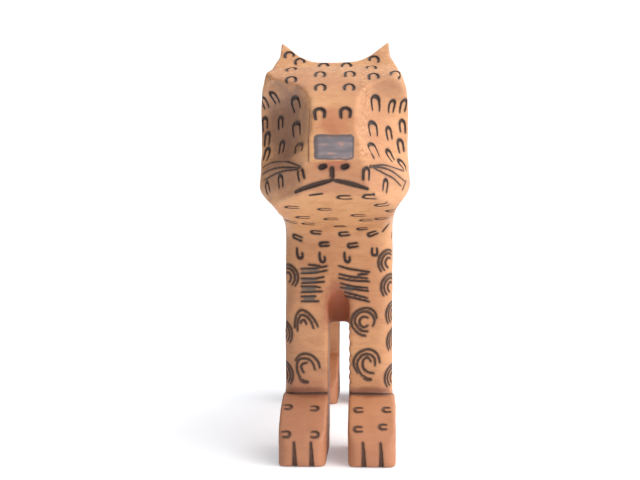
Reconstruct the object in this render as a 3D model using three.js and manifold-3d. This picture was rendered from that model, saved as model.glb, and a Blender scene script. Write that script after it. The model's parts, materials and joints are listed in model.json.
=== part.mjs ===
// A standing spotted cat carved in wood: a trunk with the neck, a head with its ears, four legs with
// their paws, and a plug-in tail. Every joint is a dowel or a peg in a bore.
// Millimetres, +Z up. The figure looks along -Y, and its own right side is at -X.

import * as THREE from "three";
import { mergeVertices } from "three/addons/utils/BufferGeometryUtils.js";
import Module from "manifold-3d";

const wasm = await Module();
wasm.setup();

// ---------------------------------------------------------------- driving dimensions

const FIT_GAP = 0.3; // between two pieces that meet
const CUT_MARGIN = 40; // how far a cutter reaches past what it cuts

// Legs and paws
const LEG_HEIGHT = 65.5; // sole to the joint under the trunk
const LEG_GAP = 9; // clear space between the two legs of a pair
const LEG_DEPTH = 22; // front to back of a front leg
const PAW_REACH = 24; // how far a paw stands out before its leg
const PAW_FLARE = 1; // how far a paw is wider than its leg, outside
const PAW_CREASE = 26.5; // height of the crease between leg and paw
const PAW_BROW = 14; // height where the top of the paw turns down
const PAW_CORNER = 5; // round front corners of a paw
const PAW_BACK = 6; // how far a paw is carved back under its leg
const TOE_CUT_HEIGHT = 10.7;
const TOE_CUT_WIDTH = 1.6;
const TOE_CUT_DEPTH = 1.4;
const TOES = 3;

// Rear legs
const THIGH_DEPTH = 42; // front to back under the trunk
const HOCK_DEPTH = 22;
const HOCK_HEIGHT = 40;
const THIGH_DOWEL_SHIFT = 4; // the dowel stands this far before the middle of the hock
const RUMP_SETBACK = 3.5; // the rear legs end this far before the end of the rump

// Trunk
const BODY_WIDTH = 47; // over the flanks and over the legs
const BODY_LENGTH = 183; // chest to rump
const WAIST_WIDTH = 43;
const BELLY_DROP = 8.5; // the chest reaches this far below the leg joints
const TUCK_DROP = 4.5; // and the belly before the rear legs this far
const THROAT_HEIGHT = 32.5; // throat above the leg joints
const WITHERS_HEIGHT = 50.5;
const SADDLE_HEIGHT = 46;
const CROUP_HEIGHT = 48.5;
const CHEST_ROUND = 6.5; // upright edges of the chest and outer edges of the front legs
const INNER_EDGE = 1; // small rounding of the legs' and paws' inner edges
const BACK_ROUND = 15;
const BELLY_ROUND = 4;
const ARCH_TOP = 7.2; // crest of the gouged arch on the chest, above the leg joints
const ARCH_RUN = 13; // how far back the arch runs out under the belly

// Head
const HEAD_WIDTH = 62;
const NECK_TILT = THREE.MathUtils.degToRad(31); // of the joint between head and neck
const NAPE_BACK = 30; // throat to nape, level
const NOSE_REACH = 58.5; // throat to nose, level
const NOSE_TOP = 35.5; // heights above the throat
const NOSE_FOOT = 25.3;
const CHIN_HEIGHT = 12;
const CROWN_HEIGHT = 69.6;
const EAR_TIP = 79.6;
const EAR_SPREAD = 45.5; // tip to tip
const EAR_BASE = 19; // front to back
const EAR_PLACE = -9; // tips, before the throat
const BRIDGE_WIDTH = 17.4;
const CHEEK_EDGE = 18; // before the throat, where each scooped cheek ends at the side
const SCOOP_SAG = 3.4; // hollow of the scooped cheeks
const SCOOP_LEAN = THREE.MathUtils.degToRad(10); // backwards, with the bridge
const SCOOP_FOOT = -9; // ends of the scoops, measured along them from the top of the nose
const SCOOP_BROW = 27.5;
const SCOOP_RIM = 12; // at both ends the hollow runs out over this height

// Joinery
const LEG_DOWEL = 8; // diameters
const NECK_DOWEL = 12;
const TAIL_PEG = 6;
const LEG_DOWEL_HOLD = 15; // depth of a dowel in each of the two pieces
const NECK_DOWEL_HOLD = 17;
const TAIL_PEG_HOLD = 13; // in the rump
const TAIL_GRIP = 10; // in the tail
const BORE_END = 0.6; // room past a dowel's end

// Tail
const TAIL_ROOT = 11.5; // diameters
const TAIL_TIP = 8;
const TAIL_SEAT_HEIGHT = 31; // of the tail's socket above the leg joints
const TAIL_TILT = THREE.MathUtils.degToRad(12); // of the peg, upwards
const TAIL_SEAT_SINK = 4; // how deep the flat seat is faced into the rump
const TAIL_SEAT_RIM = 0.5; // room round the tail in its seat, beyond the gap

// Places that several pieces share, in the figure's frame
const CHEST_Y = PAW_REACH;
const RUMP_Y = CHEST_Y + BODY_LENGTH;
const HALF_BODY = BODY_WIDTH / 2;
const LEG_WIDTH = (BODY_WIDTH - LEG_GAP) / 2;
const LEG_CENTRE_X = (BODY_WIDTH + LEG_GAP) / 4;
const THROAT = new THREE.Vector3(0, CHEST_Y, LEG_HEIGHT + THROAT_HEIGHT);
const REAR_LEG_Y = RUMP_Y - RUMP_SETBACK - HOCK_DEPTH - PAW_REACH;

// ---------------------------------------------------------------- materials

const wood = (colour, roughness) =>
  new THREE.MeshStandardMaterial({ color: colour, roughness, metalness: 0 });
const faceWood = () => wood("#d9a273", 0.62);
const bodyWood = () => wood("#c99163", 0.64);
const legWood = () => wood("#c08a60", 0.66);
const tailWood = () => wood("#c48d60", 0.64);
const dowelWood = () => wood("#dcc096", 0.7);

// ---------------------------------------------------------------- helpers

// A closed geometry as a solid that can be joined and cut.
function solid(geometry, placement = new THREE.Matrix4()) {
  const placed = geometry.clone().applyMatrix4(placement);
  placed.deleteAttribute("normal");
  placed.deleteAttribute("uv");
  const merged = mergeVertices(placed, 1e-4);
  return new wasm.Manifold(
    new wasm.Mesh({
      numProp: 3,
      vertProperties: merged.attributes.position.array,
      triVerts: new Uint32Array(merged.index.array),
    }),
  );
}

// A solid as a named mesh.
function piece(name, shape, material) {
  const { vertProperties, triVerts } = shape.getMesh();
  const geometry = new THREE.BufferGeometry();
  geometry.setAttribute("position", new THREE.BufferAttribute(vertProperties, 3));
  geometry.setIndex(new THREE.BufferAttribute(triVerts, 1));
  geometry.computeVertexNormals();
  const mesh = new THREE.Mesh(geometry, material);
  mesh.name = name;
  return mesh;
}

// An outline: a pair is a corner, and a list of pairs is a smooth curve through them.
function outline(stretches, divisions = 3) {
  const shape = new THREE.Shape();
  let started = false;
  for (const stretch of stretches) {
    const points = Array.isArray(stretch[0]) ? stretch : [stretch];
    const corners = points.map(([u, v]) => new THREE.Vector2(u, v));
    if (!started) shape.moveTo(corners[0].x, corners[0].y);
    else if (corners.length === 1) shape.lineTo(corners[0].x, corners[0].y);
    else shape.splineThru(corners);
    if (!started && corners.length > 1) shape.splineThru(corners.slice(1));
    started = true;
  }
  return shape.getPoints(divisions);
}

// The two halves of an outline whose half runs from the centre line round to the centre line.
function mirrored(half) {
  const other = half.filter((p) => Math.abs(p.x) > 1e-6).map((p) => new THREE.Vector2(-p.x, p.y));
  return [...half, ...other.reverse()];
}

// Sawn solids: an outline given a thickness, seen from the side (Y, Z), the front (X, Z) or above (X, Y).
function sawn(points, from, to, view) {
  const geometry = new THREE.ExtrudeGeometry(new THREE.Shape(points), {
    depth: to - from,
    bevelEnabled: false,
  });
  const frames = {
    side: [new THREE.Vector3(0, 1, 0), new THREE.Vector3(0, 0, 1), from],
    front: [new THREE.Vector3(1, 0, 0), new THREE.Vector3(0, 0, 1), -to],
    above: [new THREE.Vector3(1, 0, 0), new THREE.Vector3(0, 1, 0), from],
  };
  const [u, v, start] = frames[view];
  const w = new THREE.Vector3().crossVectors(u, v);
  const placement = new THREE.Matrix4().makeBasis(u, v, w);
  return solid(geometry.translate(0, 0, start), placement);
}

// A box given by two opposite corners.
function block(low, high) {
  const size = high.map((h, i) => h - low[i]);
  const centre = high.map((h, i) => (h + low[i]) / 2);
  return solid(new THREE.BoxGeometry(...size).translate(...centre));
}

// A rectangle whose corners are round, as an outline; radii go round from the corner (u0, v0).
function roundedRectangle(u0, u1, v0, v1, radii, steps = 5) {
  const corners = [
    [u0, v0, 1, 1, Math.PI],
    [u1, v0, -1, 1, 1.5 * Math.PI],
    [u1, v1, -1, -1, 0],
    [u0, v1, 1, -1, 0.5 * Math.PI],
  ];
  return corners.flatMap(([u, v, inU, inV, start], corner) => {
    const r = radii[corner];
    return Array.from({ length: steps + 1 }, (_, i) => {
      const angle = start + (i / steps) * (Math.PI / 2);
      return new THREE.Vector2(
        u + inU * r + r * Math.cos(angle),
        v + inV * r + r * Math.sin(angle),
      );
    });
  });
}

// A closed skin over rings of equally many points, each ring turning the same way round.
function skin(rings) {
  const count = rings[0].length;
  const centre = (ring) =>
    ring.reduce((sum, p) => sum.add(p), new THREE.Vector3()).divideScalar(count);
  const points = [...rings.flat(), centre(rings[0]), centre(rings.at(-1))];
  const first = rings.length * count;
  const faces = [];
  for (let i = 0; i < count; i++) {
    const next = (i + 1) % count;
    faces.push(first, i, next);
    faces.push(first + 1, (rings.length - 1) * count + next, (rings.length - 1) * count + i);
    for (let r = 0; r < rings.length - 1; r++) {
      const a = r * count;
      const b = a + count;
      faces.push(a + i, b + i, b + next);
      faces.push(a + i, b + next, a + next);
    }
  }
  const geometry = new THREE.BufferGeometry().setFromPoints(points);
  geometry.setIndex(faces);
  return geometry;
}

// A rod along a direction, centred on a point.
function rod(diameter, length, centre, direction, sides = 24) {
  const turn = new THREE.Quaternion().setFromUnitVectors(new THREE.Vector3(0, 1, 0), direction);
  const placement = new THREE.Matrix4().compose(centre, turn, new THREE.Vector3(1, 1, 1));
  return solid(new THREE.CylinderGeometry(diameter / 2, diameter / 2, length, sides), placement);
}

const UP = new THREE.Vector3(0, 0, 1);
const FORWARD = new THREE.Vector3(0, 1, 0); // from head to tail
const NECK_AXIS = new THREE.Vector3(0, -Math.sin(NECK_TILT), Math.cos(NECK_TILT));
const NECK_SLOPE = new THREE.Vector3(0, Math.cos(NECK_TILT), Math.sin(NECK_TILT));
const NECK_CENTRE = NECK_SLOPE.clone().multiplyScalar(NAPE_BACK / Math.cos(NECK_TILT) / 2);
const TAIL_AXIS = new THREE.Vector3(0, Math.cos(TAIL_TILT), Math.sin(TAIL_TILT));

// Everything on one side of the neck joint, which passes a point: side +1 is the head's side.
function neckSide(point, side) {
  const reach = 3 * CUT_MARGIN;
  const middle = NECK_AXIS.clone().multiplyScalar((side * reach) / 2).add(point);
  const placement = new THREE.Matrix4().makeRotationX(NECK_TILT).setPosition(middle);
  return solid(new THREE.BoxGeometry(2 * reach, 2 * reach, reach), placement);
}

// ---------------------------------------------------------------- head

// The face in profile, from the throat round by chin, nose, crown and nape. Origin at the throat.
function headProfile() {
  const front = -NOSE_REACH;
  return outline([
    [0, 0],
    [[-22, CHIN_HEIGHT * 0.42], [front + 11, CHIN_HEIGHT - 1], [front + 5.5, CHIN_HEIGHT + 2]],
    [[front + 3.2, CHIN_HEIGHT + 6.5], [front + 2.8, NOSE_FOOT - 0.8]],
    [front + 0.6, NOSE_FOOT],
    [front, NOSE_TOP - 1],
    [
      [front + 0.8, NOSE_TOP + 1.5],
      [front + 3.2, NOSE_TOP + 8],
      [front + 8.5, NOSE_TOP + 15.5],
      [front + 17, CROWN_HEIGHT - 12.3],
      [front + 28, CROWN_HEIGHT - 6.2],
      [front + 40, CROWN_HEIGHT - 1.9],
      [front + 52, CROWN_HEIGHT],
      [NAPE_BACK - 24, CROWN_HEIGHT - 1.2],
      [NAPE_BACK - 11, CROWN_HEIGHT - 8],
      [NAPE_BACK - 3, CROWN_HEIGHT - 21],
      [NAPE_BACK, CROWN_HEIGHT - 38],
      [NAPE_BACK, NAPE_BACK * Math.tan(NECK_TILT)],
    ],
  ]);
}

// The head from the front: the round top of the skull, or the scooped line that rises to each ear.
function headFront(withEars) {
  const side = HEAD_WIDTH / 2;
  const ear = EAR_SPREAD / 2;
  const skullTop = [
    [
      [side - 5.2, CROWN_HEIGHT - 4.2],
      [side - 10, CROWN_HEIGHT - 1.2],
      [side - 17, CROWN_HEIGHT + 0.2],
      [0, CROWN_HEIGHT + 0.5],
    ],
  ];
  const earTop = [
    [
      [side - 3.4, CROWN_HEIGHT - 5.5],
      [ear + 2.4, CROWN_HEIGHT - 0.6],
      [ear + 0.4, CROWN_HEIGHT + 3],
    ],
    [ear, EAR_TIP],
    [
      [ear - 3, EAR_TIP - 2.6],
      [ear - 8, EAR_TIP - 6.8],
      [ear - 14, CROWN_HEIGHT + 0.6],
      [0, CROWN_HEIGHT],
    ],
  ];
  return mirrored(
    outline([
      [0, -CUT_MARGIN],
      [HALF_BODY, -CUT_MARGIN],
      [HALF_BODY, 2],
      [
        [HALF_BODY + 0.6, 8],
        [side - 3.5, CHIN_HEIGHT],
        [side - 1, CHIN_HEIGHT + 3.8],
        [side + 0.2, CHIN_HEIGHT + 8.5],
        [side, CHIN_HEIGHT + 14],
        [side - 0.7, NOSE_TOP - 3],
        [side - 0.2, NOSE_TOP + 9],
        [side - 0.1, CROWN_HEIGHT - 18],
        [side - 1.2, CROWN_HEIGHT - 11.5],
      ],
      ...(withEars ? earTop : skullTop),
    ]),
  );
}

// The head from above: a flat bridge, round cheeks, narrowing to the nape.
function headPlan() {
  const side = HEAD_WIDTH / 2;
  const front = -NOSE_REACH;
  return mirrored(
    outline([
      [0, front - 1],
      [BRIDGE_WIDTH / 2, front - 1],
      [
        [BRIDGE_WIDTH / 2 + 3, front + 3],
        [side - 11.5, front + 13.5],
        [side - 4.5, front + 26.5],
        [side - 0.6, front + 39],
        [side, front + 50],
        [side, -4],
        [side - 2.6, NAPE_BACK - 18],
        [side - 8, NAPE_BACK - 5],
        [side - 16, NAPE_BACK + 0.4],
        [0, NAPE_BACK + 1],
      ],
    ]),
  );
}

// The round tool that hollows one cheek, from the edge of the bridge to the side of the head.
function cheekScoop(side) {
  const inner = new THREE.Vector2(BRIDGE_WIDTH / 2, -NOSE_REACH + 1.6);
  const outer = new THREE.Vector2(HEAD_WIDTH / 2, -CHEEK_EDGE);
  const chord = outer.clone().sub(inner);
  const half = chord.length() / 2;
  const radius = (half * half + SCOOP_SAG * SCOOP_SAG) / (2 * SCOOP_SAG);
  const out = new THREE.Vector2(chord.y, -chord.x).normalize();
  const centre = inner.add(outer).divideScalar(2).addScaledVector(out, radius - SCOOP_SAG);
  const steps = 5;
  const arc = Array.from({ length: steps + 1 }, (_, i) => (i / steps) * (Math.PI / 2));
  const rimPoint = (end, inward, angle) =>
    new THREE.Vector2(
      radius - SCOOP_RIM * (1 - Math.sin(angle)),
      end + inward * SCOOP_RIM * (1 - Math.cos(angle)),
    );
  const profile = [
    new THREE.Vector2(0, SCOOP_FOOT),
    ...arc.map((angle) => rimPoint(SCOOP_FOOT, 1, angle)),
    ...arc.reverse().map((angle) => rimPoint(SCOOP_BROW, -1, angle)),
    new THREE.Vector2(0, SCOOP_BROW),
  ];
  const tool = new THREE.LatheGeometry(profile, 96)
    .rotateX(Math.PI / 2)
    .translate(side * centre.x, centre.y + NOSE_REACH, 0)
    .rotateX(-SCOOP_LEAN)
    .translate(0, -NOSE_REACH, NOSE_TOP);
  return solid(tool);
}

function head() {
  const wide = HEAD_WIDTH;
  const profile = sawn(headProfile(), -wide, wide, "side");
  const skullFront = sawn(headFront(false), -2 * NOSE_REACH, 2 * NOSE_REACH, "front");
  const earFront = sawn(headFront(true), -2 * NOSE_REACH, 2 * NOSE_REACH, "front");
  const plan = sawn(headPlan(), -CUT_MARGIN, EAR_TIP + CUT_MARGIN, "above");
  const earProfile = outline([
    [EAR_PLACE - EAR_BASE / 4, CROWN_HEIGHT - 11],
    [EAR_PLACE + EAR_BASE / 2, CROWN_HEIGHT - 11],
    [EAR_PLACE + EAR_BASE / 2, CROWN_HEIGHT - 3],
    [EAR_PLACE + 0.6, EAR_TIP + 0.3],
    [EAR_PLACE - 0.6, EAR_TIP + 0.3],
    [EAR_PLACE - EAR_BASE / 2, CROWN_HEIGHT - 3],
  ]);
  const ears = sawn(earProfile, -wide, wide, "side");
  const bore = rod(
    NECK_DOWEL + 2 * FIT_GAP,
    2 * (NECK_DOWEL_HOLD + BORE_END),
    NECK_CENTRE,
    NECK_AXIS,
  );
  const joint = NECK_AXIS.clone().multiplyScalar(FIT_GAP);
  return profile
    .intersect(plan)
    .subtract(cheekScoop(1))
    .subtract(cheekScoop(-1))
    .intersect(skullFront)
    .add(ears.intersect(plan).intersect(earFront))
    .subtract(neckSide(joint, -1))
    .subtract(bore);
}

// ---------------------------------------------------------------- trunk

// The trunk's cross-sections from chest to rump. Origin at the chest, level with the leg joints.
function trunkRings() {
  const half = HALF_BODY;
  const waist = WAIST_WIDTH / 2;
  const rear = BODY_LENGTH;
  const high = THROAT_HEIGHT + NAPE_BACK;
  const sections = [];
  for (let i = 0; i <= 4; i++) {
    const angle = (i / 4) * (Math.PI / 2);
    const at = CHEST_ROUND * (1 - Math.cos(angle));
    sections.push([at, half - CHEST_ROUND * (1 - Math.sin(angle)), -BELLY_DROP, high]);
  }
  sections.push(
    [NAPE_BACK - 6, half, -BELLY_DROP, high],
    [NAPE_BACK + 4, half - 0.2, -BELLY_DROP + 0.1, WITHERS_HEIGHT + 5],
    [NAPE_BACK + 14, half - 0.5, -BELLY_DROP + 0.3, WITHERS_HEIGHT + 1],
    [NAPE_BACK + 26, half - 1, -BELLY_DROP + 0.7, WITHERS_HEIGHT - 1],
    [NAPE_BACK + 46, waist + 0.4, -BELLY_DROP + 1.5, SADDLE_HEIGHT + 0.8],
    [rear - 84, waist, -TUCK_DROP - 1, SADDLE_HEIGHT],
    [rear - 66, waist + 0.6, -TUCK_DROP, SADDLE_HEIGHT + 0.9],
    [rear - 48, half - 0.6, -TUCK_DROP, CROUP_HEIGHT - 0.4],
    [rear - 34, half, -TUCK_DROP, CROUP_HEIGHT],
    [rear - 20, half, -TUCK_DROP, CROUP_HEIGHT - 2],
    [rear - 10, half - 1.6, -TUCK_DROP, CROUP_HEIGHT - 6.5],
    [rear - 4, half - 4.5, -TUCK_DROP, CROUP_HEIGHT - 11.5],
    [rear - 1, half - 7.5, -TUCK_DROP + 1, CROUP_HEIGHT - 16],
    [rear, half - 10, -TUCK_DROP + 3, CROUP_HEIGHT - 20],
  );
  return sections.map(([at, reach, low, top]) => {
    const upper = Math.min(BACK_ROUND, reach - 1);
    return roundedRectangle(-reach, reach, low, top, [BELLY_ROUND, BELLY_ROUND, upper, upper]).map(
      (p) => new THREE.Vector3(p.x, at, p.y),
    );
  });
}

// The rebate that houses the top of one leg.
function legHousing(side, from, to) {
  const inner = side * (LEG_GAP / 2 - FIT_GAP);
  const outer = side * (HALF_BODY + CUT_MARGIN);
  return block([Math.min(inner, outer), from, -CUT_MARGIN], [Math.max(inner, outer), to, 0]);
}

// The gouged arch under the chest, which slopes back between the legs.
function chestArch() {
  const radius = LEG_GAP / 2;
  const length = 2 * CUT_MARGIN;
  const points = [new THREE.Vector2(-radius, -CUT_MARGIN), new THREE.Vector2(radius, -CUT_MARGIN)];
  for (let i = 0; i <= 10; i++) {
    const angle = (i / 10) * Math.PI;
    points.push(new THREE.Vector2(radius * Math.cos(angle), radius * (Math.sin(angle) - 1)));
  }
  const geometry = new THREE.ExtrudeGeometry(new THREE.Shape(points), {
    depth: length,
    bevelEnabled: false,
  }).translate(0, 0, -length / 2);
  const slope = Math.atan2(ARCH_TOP + BELLY_DROP, ARCH_RUN);
  const across = new THREE.Vector3(1, 0, 0);
  const up = new THREE.Vector3(0, Math.sin(slope), Math.cos(slope));
  const placement = new THREE.Matrix4()
    .makeBasis(across, up, new THREE.Vector3().crossVectors(across, up))
    .setPosition(0, 0, ARCH_TOP);
  return solid(geometry, placement);
}

const frontLegY = LEG_DEPTH / 2;
const rearLegY = BODY_LENGTH - RUMP_SETBACK - HOCK_DEPTH / 2 - THIGH_DOWEL_SHIFT;
const tailSeat = new THREE.Vector3(0, BODY_LENGTH - TAIL_SEAT_SINK, TAIL_SEAT_HEIGHT);

function trunk() {
  const throat = new THREE.Vector3(0, 0, THROAT_HEIGHT);
  const thighFront = BODY_LENGTH - RUMP_SETBACK - THIGH_DEPTH;
  let shape = solid(skin(trunkRings()))
    .subtract(neckSide(throat, 1))
    .subtract(
      rod(
        NECK_DOWEL + 2 * FIT_GAP,
        2 * (NECK_DOWEL_HOLD + BORE_END),
        NECK_CENTRE.clone().add(throat),
        NECK_AXIS,
      ),
    );
  for (const side of [-1, 1]) {
    shape = shape
      .subtract(legHousing(side, -CUT_MARGIN, LEG_DEPTH + FIT_GAP))
      .subtract(legHousing(side, thighFront - FIT_GAP, BODY_LENGTH + CUT_MARGIN));
    for (const y of [frontLegY, rearLegY]) {
      const mouth = new THREE.Vector3(side * LEG_CENTRE_X, y, 0);
      shape = shape.subtract(
        rod(LEG_DOWEL + 2 * FIT_GAP, 2 * (LEG_DOWEL_HOLD + BORE_END), mouth, UP),
      );
    }
  }
  const facing = TAIL_AXIS.clone().multiplyScalar(CUT_MARGIN / 2).add(tailSeat);
  return shape
    .subtract(chestArch())
    .subtract(rod(TAIL_ROOT + 2 * (FIT_GAP + TAIL_SEAT_RIM), CUT_MARGIN, facing, TAIL_AXIS, 32))
    .subtract(rod(TAIL_PEG + 2 * FIT_GAP, 2 * (TAIL_PEG_HOLD + BORE_END), tailSeat, TAIL_AXIS));
}

// ---------------------------------------------------------------- legs

// A paw in profile. Origin at the foremost point of the sole.
function pawProfile() {
  return outline([
    [PAW_REACH + PAW_BACK, 0],
    [PAW_REACH + PAW_BACK, PAW_CREASE],
    [PAW_REACH, PAW_CREASE],
    [[PAW_REACH * 0.62, PAW_CREASE - 3.2], [PAW_REACH * 0.28, PAW_BROW + 3.2], [2.4, PAW_BROW - 0.6]],
    [[0.5, PAW_BROW - 4.5], [0, 6], [0.3, 1.2]],
    [1.3, 0],
  ]);
}

// One paw with its toe cuts, on one side of the figure.
function paw(side) {
  const inner = LEG_GAP / 2;
  const outer = HALF_BODY + PAW_FLARE;
  const low = side > 0 ? inner : -outer;
  const high = side > 0 ? outer : -inner;
  const rounding = [PAW_CORNER, PAW_CORNER, INNER_EDGE, INNER_EDGE];
  const plan = roundedRectangle(low, high, 0, PAW_REACH + PAW_BACK, rounding);
  let shape = sawn(pawProfile(), low, high, "side").intersect(sawn(plan, -1, PAW_CREASE + 1, "above"));
  for (let toe = 1; toe < TOES; toe++) {
    const x = low + ((high - low) * toe) / TOES;
    const cut = [
      new THREE.Vector2(x - TOE_CUT_WIDTH / 2, -1),
      new THREE.Vector2(x + TOE_CUT_WIDTH / 2, -1),
      new THREE.Vector2(x, TOE_CUT_HEIGHT),
    ];
    shape = shape.subtract(sawn(cut, -1, TOE_CUT_DEPTH, "front"));
  }
  return shape;
}

// The bore for a leg's dowel, down from the joint.
function dowelBore(x, y) {
  const mouth = new THREE.Vector3(x, y, LEG_HEIGHT);
  return rod(LEG_DOWEL + 2 * FIT_GAP, 2 * (LEG_DOWEL_HOLD + BORE_END), mouth, UP);
}

function frontLeg(side) {
  const inner = (side * LEG_GAP) / 2;
  const outer = side * HALF_BODY;
  const back = PAW_REACH + LEG_DEPTH;
  const round =
    side > 0
      ? [INNER_EDGE, CHEST_ROUND, BELLY_ROUND, INNER_EDGE]
      : [CHEST_ROUND, INNER_EDGE, INNER_EDGE, BELLY_ROUND];
  const low = Math.min(inner, outer);
  const high = Math.max(inner, outer);
  const plan = roundedRectangle(low, high, PAW_REACH, back, round);
  return sawn(plan, 0, LEG_HEIGHT - FIT_GAP, "above")
    .add(paw(side))
    .subtract(dowelBore(side * LEG_CENTRE_X, PAW_REACH + frontLegY));
}

// The rear leg in profile: thigh, hock and shank. Origin at the foremost point of the sole.
function rearProfile() {
  const back = PAW_REACH + HOCK_DEPTH;
  const front = back - THIGH_DEPTH;
  const top = LEG_HEIGHT - FIT_GAP;
  return outline([
    [PAW_REACH, 0],
    [back - 1, 0],
    [[back - 1.5, PAW_CREASE - 8], [back - 1, PAW_CREASE], [back, HOCK_HEIGHT], [back, top - 8]],
    [back, top],
    [front, top],
    [[front + 5, HOCK_HEIGHT + 15], [PAW_REACH - 4, HOCK_HEIGHT + 4], [PAW_REACH, PAW_CREASE + 3]],
  ]);
}

function rearLeg(side) {
  const inner = (side * LEG_GAP) / 2;
  const outer = side * HALF_BODY;
  const back = PAW_REACH + HOCK_DEPTH;
  const low = Math.min(inner, outer);
  const high = Math.max(inner, outer);
  const round =
    side > 0
      ? [INNER_EDGE, BELLY_ROUND, CHEST_ROUND, INNER_EDGE]
      : [BELLY_ROUND, INNER_EDGE, INNER_EDGE, CHEST_ROUND];
  const plan = roundedRectangle(low, high, back - THIGH_DEPTH, back, round);
  const boreY = PAW_REACH + HOCK_DEPTH / 2 - THIGH_DOWEL_SHIFT;
  return sawn(rearProfile(), low, high, "side")
    .intersect(sawn(plan, -1, LEG_HEIGHT, "above"))
    .add(paw(side))
    .subtract(dowelBore(side * LEG_CENTRE_X, boreY));
}

// ---------------------------------------------------------------- tail

// The tail, swept along a curve that leaves the rump along the peg and turns up. Origin at its seat.
function tail() {
  const route = new THREE.SplineCurve(
    [
      [FIT_GAP, 0],
      [8, 0],
      [17, 1.5],
      [25, 8],
      [29, 19],
      [28.5, 31],
      [26, 42],
      [27, 52],
      [32, 58],
    ].map(([out, up]) => new THREE.Vector2(out, up)),
  );
  const stations = 26;
  const sides = 16;
  const rings = [];
  for (let s = 0; s <= stations; s++) {
    const share = s / stations;
    const place = route.getPointAt(share);
    const along = route.getTangentAt(share);
    const taper = THREE.MathUtils.lerp(TAIL_ROOT, TAIL_TIP, share) / 2;
    const left = (1 - share) * route.getLength();
    const round = left < taper ? Math.sqrt(1 - (1 - left / taper) ** 2) : 1;
    const radius = Math.max(taper * round, 0.4);
    rings.push(
      Array.from({ length: sides }, (_, i) => {
        const angle = (i / sides) * 2 * Math.PI;
        return new THREE.Vector3(
          radius * Math.cos(angle),
          place.x - along.y * radius * Math.sin(angle),
          place.y + along.x * radius * Math.sin(angle),
        );
      }),
    );
  }
  const mouth = new THREE.Vector3(0, 0, 0);
  return solid(skin(rings)).subtract(
    rod(TAIL_PEG + 2 * FIT_GAP, 2 * (TAIL_GRIP + BORE_END), mouth, FORWARD),
  );
}

// ---------------------------------------------------------------- assembly

const figure = new THREE.Group();

const body = new THREE.Group();
body.position.set(0, CHEST_Y, LEG_HEIGHT);
body.add(piece("trunk", trunk(), bodyWood()));
figure.add(body);

const headGroup = new THREE.Group();
headGroup.position.copy(THROAT);
headGroup.add(piece("head", head(), faceWood()));
const neckDowel = rod(NECK_DOWEL, 2 * NECK_DOWEL_HOLD, NECK_CENTRE, NECK_AXIS);
headGroup.add(piece("neck_dowel", neckDowel, dowelWood()));
figure.add(headGroup);

for (const [side, name] of [
  [-1, "right"],
  [1, "left"],
]) {
  figure.add(piece(`front_${name}_leg`, frontLeg(side), legWood()));
  const hind = new THREE.Group();
  hind.position.y = REAR_LEG_Y;
  hind.add(piece(`rear_${name}_leg`, rearLeg(side), legWood()));
  figure.add(hind);
  for (const [end, y] of [
    ["front", frontLegY],
    ["rear", rearLegY],
  ]) {
    const joint = new THREE.Vector3(side * LEG_CENTRE_X, y, 0);
    const dowel = rod(LEG_DOWEL, 2 * LEG_DOWEL_HOLD, joint, UP);
    body.add(piece(`${end}_${name}_leg_dowel`, dowel, dowelWood()));
  }
}

const tailGroup = new THREE.Group();
tailGroup.position.copy(tailSeat);
tailGroup.rotation.x = TAIL_TILT;
tailGroup.add(piece("tail", tail(), tailWood()));
const pegCentre = new THREE.Vector3(0, (TAIL_GRIP - TAIL_PEG_HOLD) / 2, 0);
const peg = rod(TAIL_PEG, TAIL_PEG_HOLD + TAIL_GRIP, pegCentre, FORWARD);
tailGroup.add(piece("tail_peg", peg, dowelWood()));
body.add(tailGroup);

// The figure's frame: the origin is under the middle of its box, on the surface it stands on.
figure.updateMatrixWorld(true);
const box = new THREE.Box3().setFromObject(figure, true);
const middle = box.getCenter(new THREE.Vector3());
figure.position.set(-middle.x, -middle.y, -box.min.z);

export default figure;
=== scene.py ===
# %% [markdown]
# # A carved cat with burnt spots
# The figure is a standing spotted cat, cut from a light reddish wood with saw, gouge, knife and rasp.
# It isn't painted, except for a grey nose. Every spot, stripe and spiral is burnt in with a hot iron.
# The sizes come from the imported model. This lesson adds what the carver adds last: soft edges, tool
# marks, burnt grooves with their smoke, and the look of the wood.

# %% Load the model
import json
import math

import bpy
import numpy as np
from mathutils import Matrix, Vector
from mathutils.bvhtree import BVHTree
from mathutils.kdtree import KDTree


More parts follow.
